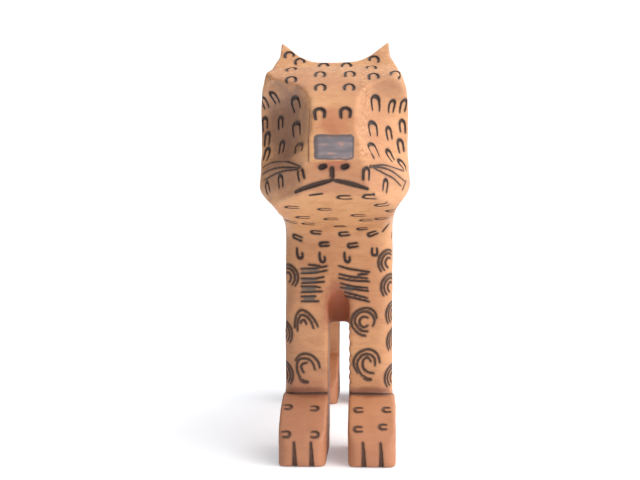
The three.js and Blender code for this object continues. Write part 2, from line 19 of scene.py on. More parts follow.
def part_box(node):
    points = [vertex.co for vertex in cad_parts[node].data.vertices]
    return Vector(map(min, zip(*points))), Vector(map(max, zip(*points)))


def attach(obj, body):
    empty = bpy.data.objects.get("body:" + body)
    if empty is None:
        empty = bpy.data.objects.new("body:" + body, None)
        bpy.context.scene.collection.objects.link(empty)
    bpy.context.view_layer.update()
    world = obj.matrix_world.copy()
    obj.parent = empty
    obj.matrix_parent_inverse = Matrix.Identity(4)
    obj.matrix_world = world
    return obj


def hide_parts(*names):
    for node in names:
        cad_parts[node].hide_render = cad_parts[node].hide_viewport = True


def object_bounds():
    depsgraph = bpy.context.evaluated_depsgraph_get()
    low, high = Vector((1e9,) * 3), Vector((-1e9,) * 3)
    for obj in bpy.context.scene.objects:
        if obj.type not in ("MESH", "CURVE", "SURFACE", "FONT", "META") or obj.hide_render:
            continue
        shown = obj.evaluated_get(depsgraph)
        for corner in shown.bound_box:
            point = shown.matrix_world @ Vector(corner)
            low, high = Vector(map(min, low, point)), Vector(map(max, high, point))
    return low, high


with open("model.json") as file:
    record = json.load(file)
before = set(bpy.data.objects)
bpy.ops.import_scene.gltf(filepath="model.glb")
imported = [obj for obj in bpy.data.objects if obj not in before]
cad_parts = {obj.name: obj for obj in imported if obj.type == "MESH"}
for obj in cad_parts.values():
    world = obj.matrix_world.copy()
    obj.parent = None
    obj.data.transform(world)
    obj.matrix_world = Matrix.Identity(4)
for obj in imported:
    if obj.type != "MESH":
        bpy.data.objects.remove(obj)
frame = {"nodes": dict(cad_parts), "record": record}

MM = 0.001
cad_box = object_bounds()
GAP = 0.3 * MM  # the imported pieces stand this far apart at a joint
chest_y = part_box("trunk")[0].y
rump_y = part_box("trunk")[1].y
joint_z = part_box("front_left_leg")[1].z + GAP / 2
throat_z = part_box("front_left_leg")[1].z + GAP + 32.5 * MM
nose_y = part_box("head")[0].y
paw_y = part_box("front_left_leg")[0].y
rear_paw_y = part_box("rear_left_leg")[0].y
leg_back_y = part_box("front_left_leg")[1].y
print("box in mm:", [round(c / MM, 1) for c in (*cad_box[0], *cad_box[1])])

# %% [markdown]
# ## Camera, floor and light
# A level camera stands in front, a little to the right of the middle, at chest height. It is close,
# which gives the strong perspective in which the muzzle comes forward and the rear legs look small.
# One large soft sun from the upper right gives the shadows a direction. The room and the pale floor
# throw light back under the jaw, so no second lamp is used there.

# %% Camera
camera_data = bpy.data.cameras.new("camera")
camera_data.sensor_width = 36.0
camera_data.lens = 56.25
camera_data.clip_start = 0.01
camera = bpy.data.objects.new("camera", camera_data)
bpy.context.scene.collection.objects.link(camera)
camera.location = Vector((13.2 * MM, paw_y - 409.8 * MM, 93.5 * MM))
camera.rotation_euler = Vector((-0.0489, 0.9988, 0.0)).to_track_quat("-Z", "Y").to_euler()
bpy.context.scene.camera = camera
bpy.context.scene.view_settings.view_transform = "Standard"
print("camera at", [round(c, 4) for c in camera.location])

# %% [markdown]
# ## Three short helpers for node materials
# Every material here is built from Blender's own noise, so that no picture is needed. Nodes can be
# placed by hand in the Shader Editor, but in a script a helper that adds a node and links its inputs
# in one call keeps the recipe readable.

# %% Helpers for materials
def new_material(name):
    """An empty node material, and a function that adds a node and links or sets its inputs."""
    material = bpy.data.materials.new(name)
    material.use_nodes = True
    tree = material.node_tree
    tree.nodes.clear()

    def add(kind, inputs=None, **settings):
        node = tree.nodes.new(kind)
        for key, value in settings.items():
            setattr(node, key, value)
        for key, value in (inputs or {}).items():
            if isinstance(value, bpy.types.NodeSocket):
                tree.links.new(value, node.inputs[key])
            else:
                node.inputs[key].default_value = value
        return node

    return material, add


def mixed(add, share, first, second, blend="MIX"):
    """Two colours mixed by a share from 0 to 1."""
    node = add("ShaderNodeMix", {0: share, 6: first, 7: second}, data_type="RGBA", blend_type=blend)
    return node.outputs[2]


def ramped(add, value, from_min, from_max, to_min=0.0, to_max=1.0):
    """A value carried smoothly from one range to another, and held at its ends."""
    sockets = {"Value": value, "From Min": from_min, "From Max": from_max}
    sockets.update({"To Min": to_min, "To Max": to_max})
    return add("ShaderNodeMapRange", sockets, interpolation_type="SMOOTHSTEP").outputs["Result"]


def math_node(add, operation, first, second=0.0):
    """One step of arithmetic between values or sockets."""
    return add("ShaderNodeMath", {0: first, 1: second}, operation=operation).outputs[0]

# %% [markdown]
# ## The floor
# The figure stands on a plain pale ground. A plane with a very faint speckle is enough. Real paper
# only throws light back; the faint glow added here is a trick that keeps the shadow pale and bluish.
# A stronger room light would lift the shadow too, but it would flatten the shades on the figure.

# %% Floor
def floor_material():
    material, add = new_material("pale_floor")
    speckle = add("ShaderNodeTexNoise", {"Scale": 40.0, "Detail": 3.0}).outputs["Fac"]
    colour = mixed(add, speckle, (0.9, 0.91, 0.93, 1), (0.94, 0.945, 0.95, 1))
    glow = {"Emission Color": (0.78, 0.9, 1.0, 1), "Emission Strength": 0.2}  # keeps the shadow pale
    shader = add("ShaderNodeBsdfPrincipled", {"Base Color": colour, "Roughness": 0.7, **glow})
    add("ShaderNodeOutputMaterial", {"Surface": shader.outputs["BSDF"]})
    return material


reach = 4.0
corners = [(-reach, -reach, 0), (reach, -reach, 0), (reach, reach, 0), (-reach, reach, 0)]
floor_mesh = bpy.data.meshes.new("floor")
floor_mesh.from_pydata(corners, [], [(0, 1, 2, 3)])
floor_mesh.materials.append(floor_material())
floor = bpy.data.objects.new("floor", floor_mesh)
floor.location.z = cad_box[0].z - 0.05 * MM
bpy.context.scene.collection.objects.link(floor)
print("floor at", round(floor.location.z / MM, 2), "mm")

# %% [markdown]
# ## The light
# Daylight comes from a large window on the upper right. The sun lamp has a wide angle, for a soft
# shadow. The room is bright towards the window and dim on the other side, which shades the far cheek.
# An area lamp could be the window too, but a world that follows a direction lights all sides at once.
# Camera rays see plain white instead of the room.

# %% Light
sun_data = bpy.data.lights.new("sun", "SUN")
sun_data.energy = 1.5
sun_data.angle = math.radians(60)
sun_data.color = (1.0, 0.985, 0.96)
sun = bpy.data.objects.new("sun", sun_data)
sun.rotation_euler = Vector((-0.75, 0.45, -0.7)).to_track_quat("-Z", "Y").to_euler()
bpy.context.scene.collection.objects.link(sun)

world = bpy.data.worlds.new("room")
world.use_nodes = True
bpy.context.scene.world = world
room = world.node_tree
background = room.nodes["Background"]
background.inputs["Color"].default_value = (0.97, 0.98, 1.0, 1.0)
direction = room.nodes.new("ShaderNodeTexCoord")
towards_window = room.nodes.new("ShaderNodeVectorMath")
towards_window.operation = "DOT_PRODUCT"
towards_window.inputs[1].default_value = (0.74, -0.02, 0.67)
brightness = room.nodes.new("ShaderNodeMapRange")
for socket, value in (("From Min", -0.2), ("From Max", 0.9), ("To Min", 0.13), ("To Max", 1.75)):
    brightness.inputs[socket].default_value = value
seen = room.nodes.new("ShaderNodeBackground")
seen.inputs["Color"].default_value = (1.0, 1.0, 1.0, 1.0)
seen.inputs["Strength"].default_value = 1.1
light_path = room.nodes.new("ShaderNodeLightPath")
choose = room.nodes.new("ShaderNodeMixShader")
room.links.new(direction.outputs["Generated"], towards_window.inputs[0])
room.links.new(towards_window.outputs["Value"], brightness.inputs["Value"])
room.links.new(brightness.outputs["Result"], background.inputs["Strength"])
room.links.new(light_path.outputs["Is Camera Ray"], choose.inputs[0])
room.links.new(background.outputs[0], choose.inputs[1])
room.links.new(seen.outputs[0], choose.inputs[2])
room.links.new(choose.outputs[0], room.nodes["World Output"].inputs["Surface"])
print("sun of", sun_data.energy, "over", round(math.degrees(sun_data.angle)), "degrees")

# %% [markdown]
# ## One rough block, then soft edges
# A carver glues head and legs to the trunk first, and only then rounds the whole figure, so that no
# step shows at a joint. The lesson works in the same order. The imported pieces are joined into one
# block, a voxel Remesh modifier covers it with small even faces, and its points are pulled towards
# their neighbours, which rounds each edge. The block is sawn back into its pieces at the end.
# Rounding each piece by itself would open a step at every joint.

# %% Helpers for meshes
def new_object(name, mesh):
    thing = bpy.data.objects.new(name, mesh)
    bpy.context.scene.collection.objects.link(thing)
    return thing


def mesh_from(name, points, faces):
    mesh = bpy.data.meshes.new(name)
    mesh.from_pydata([tuple(p) for p in points], [], faces)
    mesh.update()
    return new_object(name, mesh)


def drop(thing):
    mesh = thing.data
    bpy.data.objects.remove(thing)
    bpy.data.meshes.remove(mesh)


def apply_modifier(thing, kind, **settings):
    modifier = thing.modifiers.new("step", kind)
    for key, value in settings.items():
        setattr(modifier, key, value)
    graph = bpy.context.evaluated_depsgraph_get()
    mesh = bpy.data.meshes.new_from_object(thing.evaluated_get(graph))
    thing.modifiers.clear()
    old = thing.data
    thing.data = mesh
    bpy.data.meshes.remove(old)
    return thing


def cut(thing, tool, operation="DIFFERENCE"):
    """One Boolean with the fast solver, which wants closed meshes; the tool is used up."""
    apply_modifier(thing, "BOOLEAN", object=tool, operation=operation, solver="MANIFOLD")
    drop(tool)
    return thing


def points_of(thing):
    flat = np.empty(len(thing.data.vertices) * 3)
    thing.data.vertices.foreach_get("co", flat)
    return flat.reshape(-1, 3)


def set_points(thing, points):
    thing.data.vertices.foreach_set("co", points.ravel())
    thing.data.update()

# %% [markdown]
# ## The rough block
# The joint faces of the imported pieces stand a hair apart. They are pushed a little into each other
# before the Remesh, because it would otherwise leave a thin slit at each joint. The voxels are 0.6 mm,
# small enough to carry the colour of smoke beside a groove and large enough to stay quick.

# %% Join the pieces into one block
SAWN = ["trunk", "head", "front_left_leg", "front_right_leg", "rear_left_leg", "rear_right_leg"]
neck_tilt = math.radians(31)
neck_axis = Vector((0, -math.sin(neck_tilt), math.cos(neck_tilt)))
throat = Vector((0, chest_y, throat_z))


def closed_up(node):
    """A copy of a piece whose joint faces reach a little into their neighbour."""
    thing = new_object("rough_" + node, frame["nodes"][node].data.copy())
    points = points_of(thing)
    if "leg" in node:
        points[points[:, 2] > joint_z - GAP, 2] += 3 * GAP
    if node == "head":
        height = (points - np.array(throat)) @ np.array(neck_axis)
        points[np.abs(height - GAP) < GAP / 2] -= 3 * GAP * np.array(neck_axis)
    set_points(thing, points)
    return thing


rough = [closed_up(node) for node in SAWN]
block = rough[0]
with bpy.context.temp_override(active_object=block, selected_editable_objects=rough):
    bpy.ops.object.join()
block.data.materials.clear()
apply_modifier(block, "REMESH", mode="VOXEL", voxel_size=0.6 * MM)
print("block:", len(block.data.vertices), "points")

# %% [markdown]
# ## Edges worn soft
# A bevel would follow every small facet of the rough block. Moving each point towards the mean of its
# neighbours rounds edges of any angle, as sandpaper does. The ear tips are held back because they are
# sharp, and the throat, which is a wide hollow curve, is relaxed for much longer.

# %% Round the edges
def smooth_step(value, low, high):
    share = np.clip((value - low) / (high - low), 0.0, 1.0)
    return share * share * (3 - 2 * share)


def relaxed(points, ends, rounds, freedom):
    """Moves each point halfway towards the mean of its neighbours, as far as its freedom lets it."""
    count = np.bincount(ends.ravel(), minlength=len(points)).astype(float)[:, None]
    for _ in range(rounds):
        mean = np.zeros_like(points)
        for a, b in ((0, 1), (1, 0)):
            for k in range(3):
                mean[:, k] += np.bincount(ends[:, a], points[ends[:, b], k], len(points))
        points = points + 0.5 * freedom[:, None] * (mean / count - points)
    return points


ends = np.empty(len(block.data.edges) * 2, np.int64)
block.data.edges.foreach_get("vertices", ends)
ends = ends.reshape(-1, 2)
points = points_of(block)
ear_hold = smooth_step(points[:, 2], throat_z + 71 * MM, throat_z + 77 * MM)
points = relaxed(points, ends, 9, 1.0 - 0.75 * ear_hold)

# The throat is a wide hollow curve, so its corner is relaxed much longer than the edges.
along = points[:, 1] - (chest_y - 6 * MM)
above = points[:, 2] - (throat_z - 1 * MM)
near_throat = 1.0 - smooth_step(np.hypot(along / 1.3, above), 5 * MM, 17 * MM)
points = relaxed(points, ends, 160, near_throat)
set_points(block, points)

# %% [markdown]
# ## Tool marks and a crooked skull
# Nothing carved by hand is flat or quite symmetric. Long low waves stand for the knife, the skull
# leans a little to one side, the whisker pads bulge, and the gouge left scallops on one leg. The
# random numbers have a fixed seed, so each run gives the same figure.

# %% Leave the carver's hand in it
def knife_waves(points, rng, count, low, high):
    """A sum of long waves in random directions, about 1 high."""
    total = np.zeros(len(points))
    for _ in range(count):
        direction = rng.normal(size=3)
        direction /= np.linalg.norm(direction)
        length = rng.uniform(low, high)
        total += np.sin(points @ direction * (2 * math.pi / length) + rng.uniform(0, 2 * math.pi))
    return total / math.sqrt(count)


rng = np.random.default_rng(4)
points = points_of(block)
normals = np.empty(len(points) * 3)
block.data.vertices.foreach_get("normal", normals)
normals = normals.reshape(-1, 3)
off_sole = smooth_step(points[:, 2], 0.3 * MM, 2 * MM)
lift = 0.05 * MM * knife_waves(points, rng, 18, 5 * MM, 12 * MM)
lift += 0.10 * MM * knife_waves(points, rng, 12, 14 * MM, 40 * MM)
points += normals * (lift * off_sole)[:, None]

# The skull sits a little towards the figure's right behind the nose, as hand work does.
height = smooth_step(points[:, 2], throat_z + 3 * MM, throat_z + 17 * MM)
behind_nose = smooth_step(points[:, 1], nose_y, nose_y + 30 * MM)
points[:, 0] -= 1.2 * MM * height * behind_nose
pad = np.exp(-(((points[:, 2] - throat_z - 17 * MM) / (6 * MM)) ** 2))
at_side = smooth_step(np.abs(points[:, 0]), 22 * MM, 29 * MM)
points[:, 0] += 0.7 * MM * pad * at_side * np.sign(points[:, 0])

# A gouge ran along the inner edge of the front left leg and left small scallops.
from_edge = (points[:, 0] - 5.2 * MM) / (1.6 * MM)
from_front = (points[:, 1] - chest_y) / (5 * MM)
inner_edge = np.exp(-(from_edge**2) - from_front**2)
inner_edge *= smooth_step(points[:, 2], 28 * MM, 32 * MM)
inner_edge *= 1 - smooth_step(points[:, 2], 54 * MM, 58 * MM)
scallop = points[:, 2] * 2 * math.pi / (4.3 * MM) + np.sin(points[:, 2] / (3 * MM))
points[:, 0] += 0.38 * MM * inner_edge * np.sin(scallop)
set_points(block, points)
block_tree = BVHTree.FromPolygons(points, [p.vertices for p in block.data.polygons])
print("rounded block:", [round(c / MM, 1) for c in (*points.min(0), *points.max(0))])

# %% [markdown]
# ## Burnt marks
# The hot iron sinks into the wood and leaves a groove 0.2 to 1 mm deep, black at the bottom, with
# brown smoke at its edges. A mark is a line drawn flat on paper here. It is held against
# the wood where the iron would touch, and each of its points drops onto the surface. A tube along
# this line is then cut out of the block. A painted line would look the same from far away, but it
# would catch no light at its edges.

# %% Lines on paper, in mm
iron = np.random.default_rng(11)


def arch(width=3.7, height=4.5):
    """The usual stamp: a horseshoe, open at the bottom, with one side a little longer."""
    r = width / 2
    top = height / 2 - r
    turn = [math.radians(a) for a in range(180, -1, -20)]
    left_end = -height / 2 - iron.uniform(-0.3, 0.3)
    right_end = -height / 2 - iron.uniform(-0.3, 0.3)
    line = [(-0.86 * r, left_end), (-0.97 * r, left_end / 2)]
    line += [(r * math.cos(a), top + r * math.sin(a)) for a in turn]
    return line + [(0.97 * r, right_end / 2), (0.86 * r, right_end)]


def ring(radius, start, stop):
    """Part of a ring; the angles go anticlockwise from the right."""
    steps = max(6, int(abs(stop - start) * radius / 40))
    angles = [math.radians(start + (stop - start) * i / steps) for i in range(steps + 1)]
    return [(radius * math.cos(a), radius * math.sin(a)) for a in angles]


def bent(corners, steps=5):
    """A smooth line through a few corners."""
    ends = [corners[0], *corners, corners[-1]]
    line = []
    for a, b, c, d in zip(ends, ends[1:], ends[2:], ends[3:]):
        for i in range(steps):
            t = i / steps
            weights = (-t + 2 * t**2 - t**3, 2 - 5 * t**2 + 3 * t**3, t + 4 * t**2 - 3 * t**3, t**3 - t**2)
            line.append(tuple(0.5 * sum(w * p[k] for w, p in zip(weights, (a, b, c, d))) for k in (0, 1)))
    return line + [corners[-1]]

# %% [markdown]
# ## From paper to wood
# A BVH tree finds where a ray meets the block. Stamps are laid along the surface, so they keep their
# size on a slope. Drawn lines are projected straight from a view, so they look true from there. Rings
# that go round a front corner are unrolled: the distance along the surface becomes an angle.

# %% Hold a line against the wood
VIEWS = {  # where the iron comes from: the ray's direction, and which way is up on the paper
    "front": (Vector((0, 1, 0)), Vector((0, 0, 1))),
    "below": (Vector((0, 0, 1)), Vector((0, -1, 0))),
    "above": (Vector((0, 0, -1)), Vector((0, -1, 0))),
    "left": (Vector((-1, 0, 0)), Vector((0, 0, 1))),
    "right": (Vector((1, 0, 0)), Vector((0, 0, 1))),
    "back": (Vector((0, -1, 0)), Vector((0, 0, 1))),
}
strokes = []


FAR = 400 * MM  # well outside the figure
UNDER_JAW = 76 * MM  # a height below the jaw and above the paws


def touch(view, u, v):
    """The point and the outward normal where a ray from a view meets the wood. u, v in mm."""
    ray = VIEWS[view][0]
    if view in ("front", "back"):
        start = Vector((u * MM, 0, v * MM)) - ray * FAR
    elif view in ("below", "above"):
        start = Vector((u * MM, v * MM, UNDER_JAW if view == "below" else FAR))
    else:
        start = Vector((0, u * MM, v * MM)) - ray * FAR
    point, normal, _, _ = block_tree.ray_cast(start, ray)
    return point, normal


def burn(points, normals, radius, taper=0.55, char=1.0, wedge=False):
    """Keeps a stroke: its path on the wood, its half width along the path, and how black it is."""
    count = len(points)
    swell = [taper + (1 - taper) * math.sin(math.pi * (i + 0.5) / count) ** 0.5 for i in range(count)]
    if wedge:
        swell = [1 - (1 - taper) * i / (count - 1) for i in range(count)]
    strokes.append(
        {
            "points": np.array(points),
            "normals": np.array(normals),
            "radii": radius * MM * np.array(swell),
            "char": char,
        }
    )


def stamp(view, u, v, line, turn=0.0, radius=0.4, char=1.0, taper=0.55):
    """Stamps a flat line with its middle at (u, v) as seen from a view."""
    point, normal = touch(view, u, v)
    if point is None:
        print("missed", view, u, v)
        return
    normal = (normal - 0.35 * VIEWS[view][0]).normalized()  # the iron leans towards the carver
    up = VIEWS[view][1]
    up = (up - normal * up.dot(normal)).normalized()
    side = up.cross(normal)
    spin = Matrix.Rotation(math.radians(turn), 3, normal)
    up, side = spin @ up, spin @ side
    path, path_normals = [], []
    for x, y in line:
        place = point + side * (x * MM) + up * (y * MM)
        hit, hit_normal, _, _ = block_tree.ray_cast(place + normal * 5 * MM, -normal, 9 * MM)
        if hit is None:
            hit, hit_normal, _, _ = block_tree.find_nearest(place)
        path.append(hit)
        path_normals.append(hit_normal)
    burn(path, path_normals, radius, taper, char)


def draw(view, corners, radius=0.35, char=1.0, taper=0.55, step=1.0, wedge=False):
    """Draws a line through corners given in a view's own two coordinates."""
    path, path_normals = [], []
    for (u0, v0), (u1, v1) in zip(corners, corners[1:]):
        pieces = max(1, round(math.hypot(u1 - u0, v1 - v0) / step))
        for i in range(pieces + (1 if (u1, v1) == corners[-1] else 0)):
            share = i / pieces
            hit, hit_normal = touch(view, u0 + (u1 - u0) * share, v0 + (v1 - v0) * share)
            if hit is not None and (not path or (hit - path[-1]).length > 0.15 * MM):
                path.append(hit)
                path_normals.append(hit_normal)
    if len(path) > 1:
        burn(path, path_normals, radius, taper, char, wedge)


def trace(view, u, v, line, turn=0.0, radius=0.4, char=1.0, taper=0.5):
    """Draws a flat line round (u, v) so that it looks true from its view, however steep the wood is."""
    c, s = math.cos(math.radians(turn)), math.sin(math.radians(turn))
    corners = [(u + x * c - y * s, v + x * s + y * c) for x, y in line]
    draw(view, corners, radius, char, taper, 1.0)


def wrap(side, s0, z0, line, radius=0.38, char=0.95, taper=0.55):
    """Lays a flat line round a front corner of the body; s runs from the front face to the flank."""
    bend = 6.5  # the corner's radius
    quarter = bend * math.pi / 2
    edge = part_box("trunk")[1].x / MM - bend
    path, path_normals = [], []
    for x, y in line:
        s = s0 + x
        angle = min(max(s / bend, 0), math.pi / 2)
        across = edge + min(s, 0) + bend * math.sin(angle)
        depth = bend * (1 - math.cos(angle)) + max(s - quarter, 0)
        out = Vector((side * math.sin(angle), -math.cos(angle), 0))
        place = Vector((side * across * MM, chest_y + depth * MM, (z0 + y) * MM))
        hit, normal, _, _ = block_tree.ray_cast(place + out * 4 * MM, -out, 8 * MM)
        if hit is not None:
            path.append(hit)
            path_normals.append(normal)
    if len(path) > 3:
        burn(path, path_normals, radius, taper, char)

# %% [markdown]
# ## Marks on the face
# Low wide horseshoes cover crown and forehead, two bold ones sit on the bridge, and slim ones follow
# the cheeks and the muzzle. A loop could spread them evenly, but they were stamped by eye, so each has
# its own place and turn in a short list for each area.

# %% Marks on the face, each as (x, height, turn)
CROWN = [(-20.4, 171.6, 0), (-15.8, 168.4, 0), (15.4, 169.2, 0)]
CROWN += [(-5.7, 166.2, 0), (3.9, 166.2, 0), (14.2, 164.4, 0), (-18.6, 163.6, 0)]
FOREHEAD = [(-6.4, 160, 0), (5.5, 160, 0), (15, 158.6, 3), (24, 160.0, -28)]
FOREHEAD += [(-17.6, 157.2, 0), (-5.7, 153, 0), (5.5, 153, 0)]
BRIDGE = [(-5.5, 141.5, 4), (4.3, 141.7, 0)]
RIGHT_CHEEK = [(-25.3, 151.7, 14), (-30, 150.5, 5), (-15.8, 147.5, 16), (-30.1, 142, 8)]
RIGHT_CHEEK += [(-22.8, 141.3, 8), (-15.4, 137.3, 4), (-28.9, 135.5, 0), (-22, 131, 0)]
RIGHT_CHEEK += [(-28.9, 129, -8)]
LEFT_CHEEK = [(15.8, 148, 4), (22.4, 148, 0), (27.4, 149, 0), (14.8, 137.5, 8), (21.3, 136.8, 10)]
LEFT_CHEEK += [(27, 140.5, 0), (21.6, 127.6, 22), (26.2, 132.2, 6), (26.8, 124.1, 20)]
MUZZLE = [(-12.8, 118.4, 14), (-21.4, 116.5, 8), (-27.6, 114.6, 26), (12.3, 118.5, 0), (19.6, 114.7, -16)]

for x, z, turn in CROWN:
    trace("front", x, z, arch(3.9, 2.4), turn - x * 0.6, 0.46)
for x, z, turn in FOREHEAD:
    trace("front", x, z, arch(3.8, 3.0), turn, 0.5)
for x, z, turn in BRIDGE:
    stamp("front", x, z, arch(3.7, 4.4), turn, 0.68, 1.0, 0.35)
for x, z, turn in RIGHT_CHEEK + LEFT_CHEEK:
    if abs(x) < 17:  # on the steep wall beside the bridge
        trace("front", x, z, arch(3.2, 5.2), turn, 0.75, 1.0, 0.35)
    else:
        stamp("front", x, z, arch(3.2, 5.0), turn, 0.62, 1.0, 0.35)
trace("front", -13.9, 129.2, arch(3.7, 3.6), 0, 0.65, 0.75, 0.4)
trace("front", 15.0, 128.4, arch(3.0, 6.0), 24, 0.6, 1.0, 0.4)
for x, z, turn in MUZZLE:
    stamp("front", x, z, arch(3.1, 4.6), turn, 0.6, 1.0, 0.35)
print(len(strokes), "marks on the face")

# %% [markdown]
# ## Nose holes, mouth and whiskers
# These are drawn with the edge of a hot blade: thick and pointed for the mouth, hair-thin for the
# whiskers. A smooth curve through three or four points is enough for each.

# %% Nose holes, mouth and whiskers
for side in (-1, 1):
    draw("front", [(side * 4.2 - 0.7, 121.0), (side * 4.2 + 0.7, 121.5)], 1.05, 1.0, 0.9, 0.5)
draw("front", [(-0.8, 120.6), (-0.7, 116.8)], 0.88, 0.92, 0.8)
draw("front", bent([(-15.0, 111.9), (-8.5, 114.1), (-0.6, 116.2)]), 0.95, 0.95, 0.2)
draw("front", bent([(-0.4, 116.2), (6.0, 114.9), (12.9, 112.9)]), 0.9, 0.95, 0.2)
WHISKERS = [
    [(-12.8, 121.5), (-19.5, 124.2), (-26.0, 125.0), (-30.5, 123.0)],
    [(-12.9, 120.9), (-20.0, 121.9), (-26.0, 121.6), (-30.6, 120.2)],
    [(-13.0, 120.4), (-21.0, 120.3), (-29.8, 117.6)],
    [(14.6, 121.8), (20.0, 122.6), (27.4, 121.4)],
    [(14.7, 121.5), (21.4, 120.9), (27.9, 117.2)],
    [(14.8, 121.2), (19.4, 119.2), (22.9, 117.8), (26.0, 115.2)],
    [(28.3, 117.6), (26.6, 113.6)],
]
for line in WHISKERS:
    draw("front", bent(line), 0.24, 0.95, 0.6)
draw("front", [(13.6, 121.3), (14.8, 121.8)], 0.5, 0.9, 0.9, 0.5)


# A faint line runs down the edge of the bridge on the figure's right.
draw("front", [(-9.5, 143.5), (-9.6, 133), (-9.5, 122.8)], 0.22, 0.5)
print(len(WHISKERS), "whiskers")

# %% [markdown]
# ## Chin and throat
# Under the jaw the same horseshoe lies on its side. It is stamped from below, where the iron reaches
# it, and looks flat from the front. The last rows, where the throat turns down into the chest, are
# stamped from the front, because a ray from below would only graze the wood there.

# %% Chin and throat: the same stamp lying on its side, as (x, distance behind the nose, turn)
CHIN = [(3.7, 8.8, -90), (13.5, 8.8, -85), (-17.3, 21.1, -70), (-4.4, 24, -95)]
CHIN += [(18.2, 17.7, -120), (8.8, 33.7, -95), (-14.1, 37.5, -75), (-2.6, 39.7, -92)]
CHIN += [(12, 42.7, -105), (22.7, 26.1, -115), (18.4, 40, -115), (-19.8, 46.2, -65), (-12.4, 48, -75)]
nose_mm = nose_y / MM
for x, behind, turn in CHIN:
    stamp("below", x, nose_mm + behind, arch(3.0, 5.0), -turn - 0.5 * x, 0.46, 1.0, 0.4)
draw("below", [(-9.4, nose_mm + 7.2), (-4.6, nose_mm + 6.4)], 0.42)
THROAT = [(0.8, 99.4, 90), (10.4, 98.4, 100), (-9.6, 96.9, 84), (2.5, 96.2, 94)]
THROAT += [(14.8, 96.3, 112), (-17.8, 94.6, 66), (-6, 91.7, 93), (6.2, 91.2, 98)]
for x, z, turn in THROAT:
    stamp("front", x, z, arch(1.6, 4.2), turn, 0.44, 1.0, 0.4)
draw("front", [(19.2, 97.2), (21.8, 100.6)], 0.42, 0.95, 0.4)
draw("front", [(23.0, 94.4), (23.2, 97.0)], 0.4, 0.7, 0.4)
print(len(CHIN) + len(THROAT) + 3, "marks on chin and throat")

# %% [markdown]
# ## Chest
# Two groups of stripes stand over the legs, like ribs, with a row of hooks above. Some gaps between
# two stripes, most of them on the figure's right, are smeared grey. A smear has no depth, so it is
# only a colour here, placed by its distance from a short line.

# %% Chest: hooks, then two groups of stripes
HOOK = bent([(-1.3, 3.0), (-1.2, 0.4), (-0.5, -1.7), (0.9, -2.0), (1.6, -0.9), (1.4, 0.7)])
for x, z, size in ((-17.0, 87.3, 0.85), (-7.2, 85.6, 0.8), (3.6, 85.6, 0.8)):
    trace("front", x, z, [(size * u, size * v) for u, v in HOOK], 0, 0.5, 1.0, 0.5)
trace("front", 15.6, 88.4, arch(2.3, 3.2), 180, 0.46, 1.0, 0.45)
STRIPES = [
    [(-12.9, 82.8), (-8.0, 82.3)], [(-16.3, 81.0), (-10.0, 81.2), (-4.8, 82.2)],
    [(-16.1, 79.0), (-10.0, 79.3), (-4.8, 80.4)], [(-16.1, 76.8), (-10.5, 76.7), (-6.2, 77.5)],
    [(-16.0, 74.7), (-6.0, 75.4)], [(-16.1, 73.3), (-10.0, 73.3), (-7.8, 72.8)],
    [(-16.1, 70.8), (-7.0, 71.2)], [(-16.1, 68.9), (-9.8, 69.1)], [(-16.1, 66.8), (-8.4, 66.9)],
    [(0.1, 82.3), (4.5, 81.0), (13.5, 79.6)], [(8.5, 78.5), (12.7, 78.8)],
    [(0.3, 78.7), (5.0, 77.6), (12.7, 76.9)], [(0.1, 77.1), (5.0, 76.0), (13.5, 75.5)],
    [(1.0, 74.7), (6.0, 73.4), (12.7, 72.7)], [(1.0, 72.9), (13.0, 71.4)],
    [(2.6, 70.9), (7.0, 69.8), (12.7, 68.3)], [(2.8, 69.2), (7.5, 68.2), (13.5, 66.7)],
]
for line in STRIPES:
    draw("front", line, 0.38, 0.95, 0.5)
SMEARS = [[(-15.3, 80.1), (-9.4, 80.3)], [(-15.1, 75.8), (-10.4, 75.9)], [(-15.1, 72.1), (-10.8, 72.1)]]
SMEARS += [[(-14.2, 67.9), (-11.4, 68.0)], [(3.4, 72.4), (5.6, 72.1)]]
smear_points = []
for (x0, z0), (x1, z1) in SMEARS:
    for share in np.linspace(0, 1, 30):
        smear_points.append(touch("front", x0 + (x1 - x0) * share, z0 + (z1 - z0) * share)[0])
print(len(STRIPES), "stripes,", len(SMEARS), "smears")

# %% [markdown]
# ## Spirals
# Each front leg has two spirals, drawn freehand: an outer and an inner line, and a hook in the middle.
# A formula gives too even a spiral, so a few points round its middle are joined by a smooth line.
# Nested rings run down both front corners of the body, laid round the corner like a label.

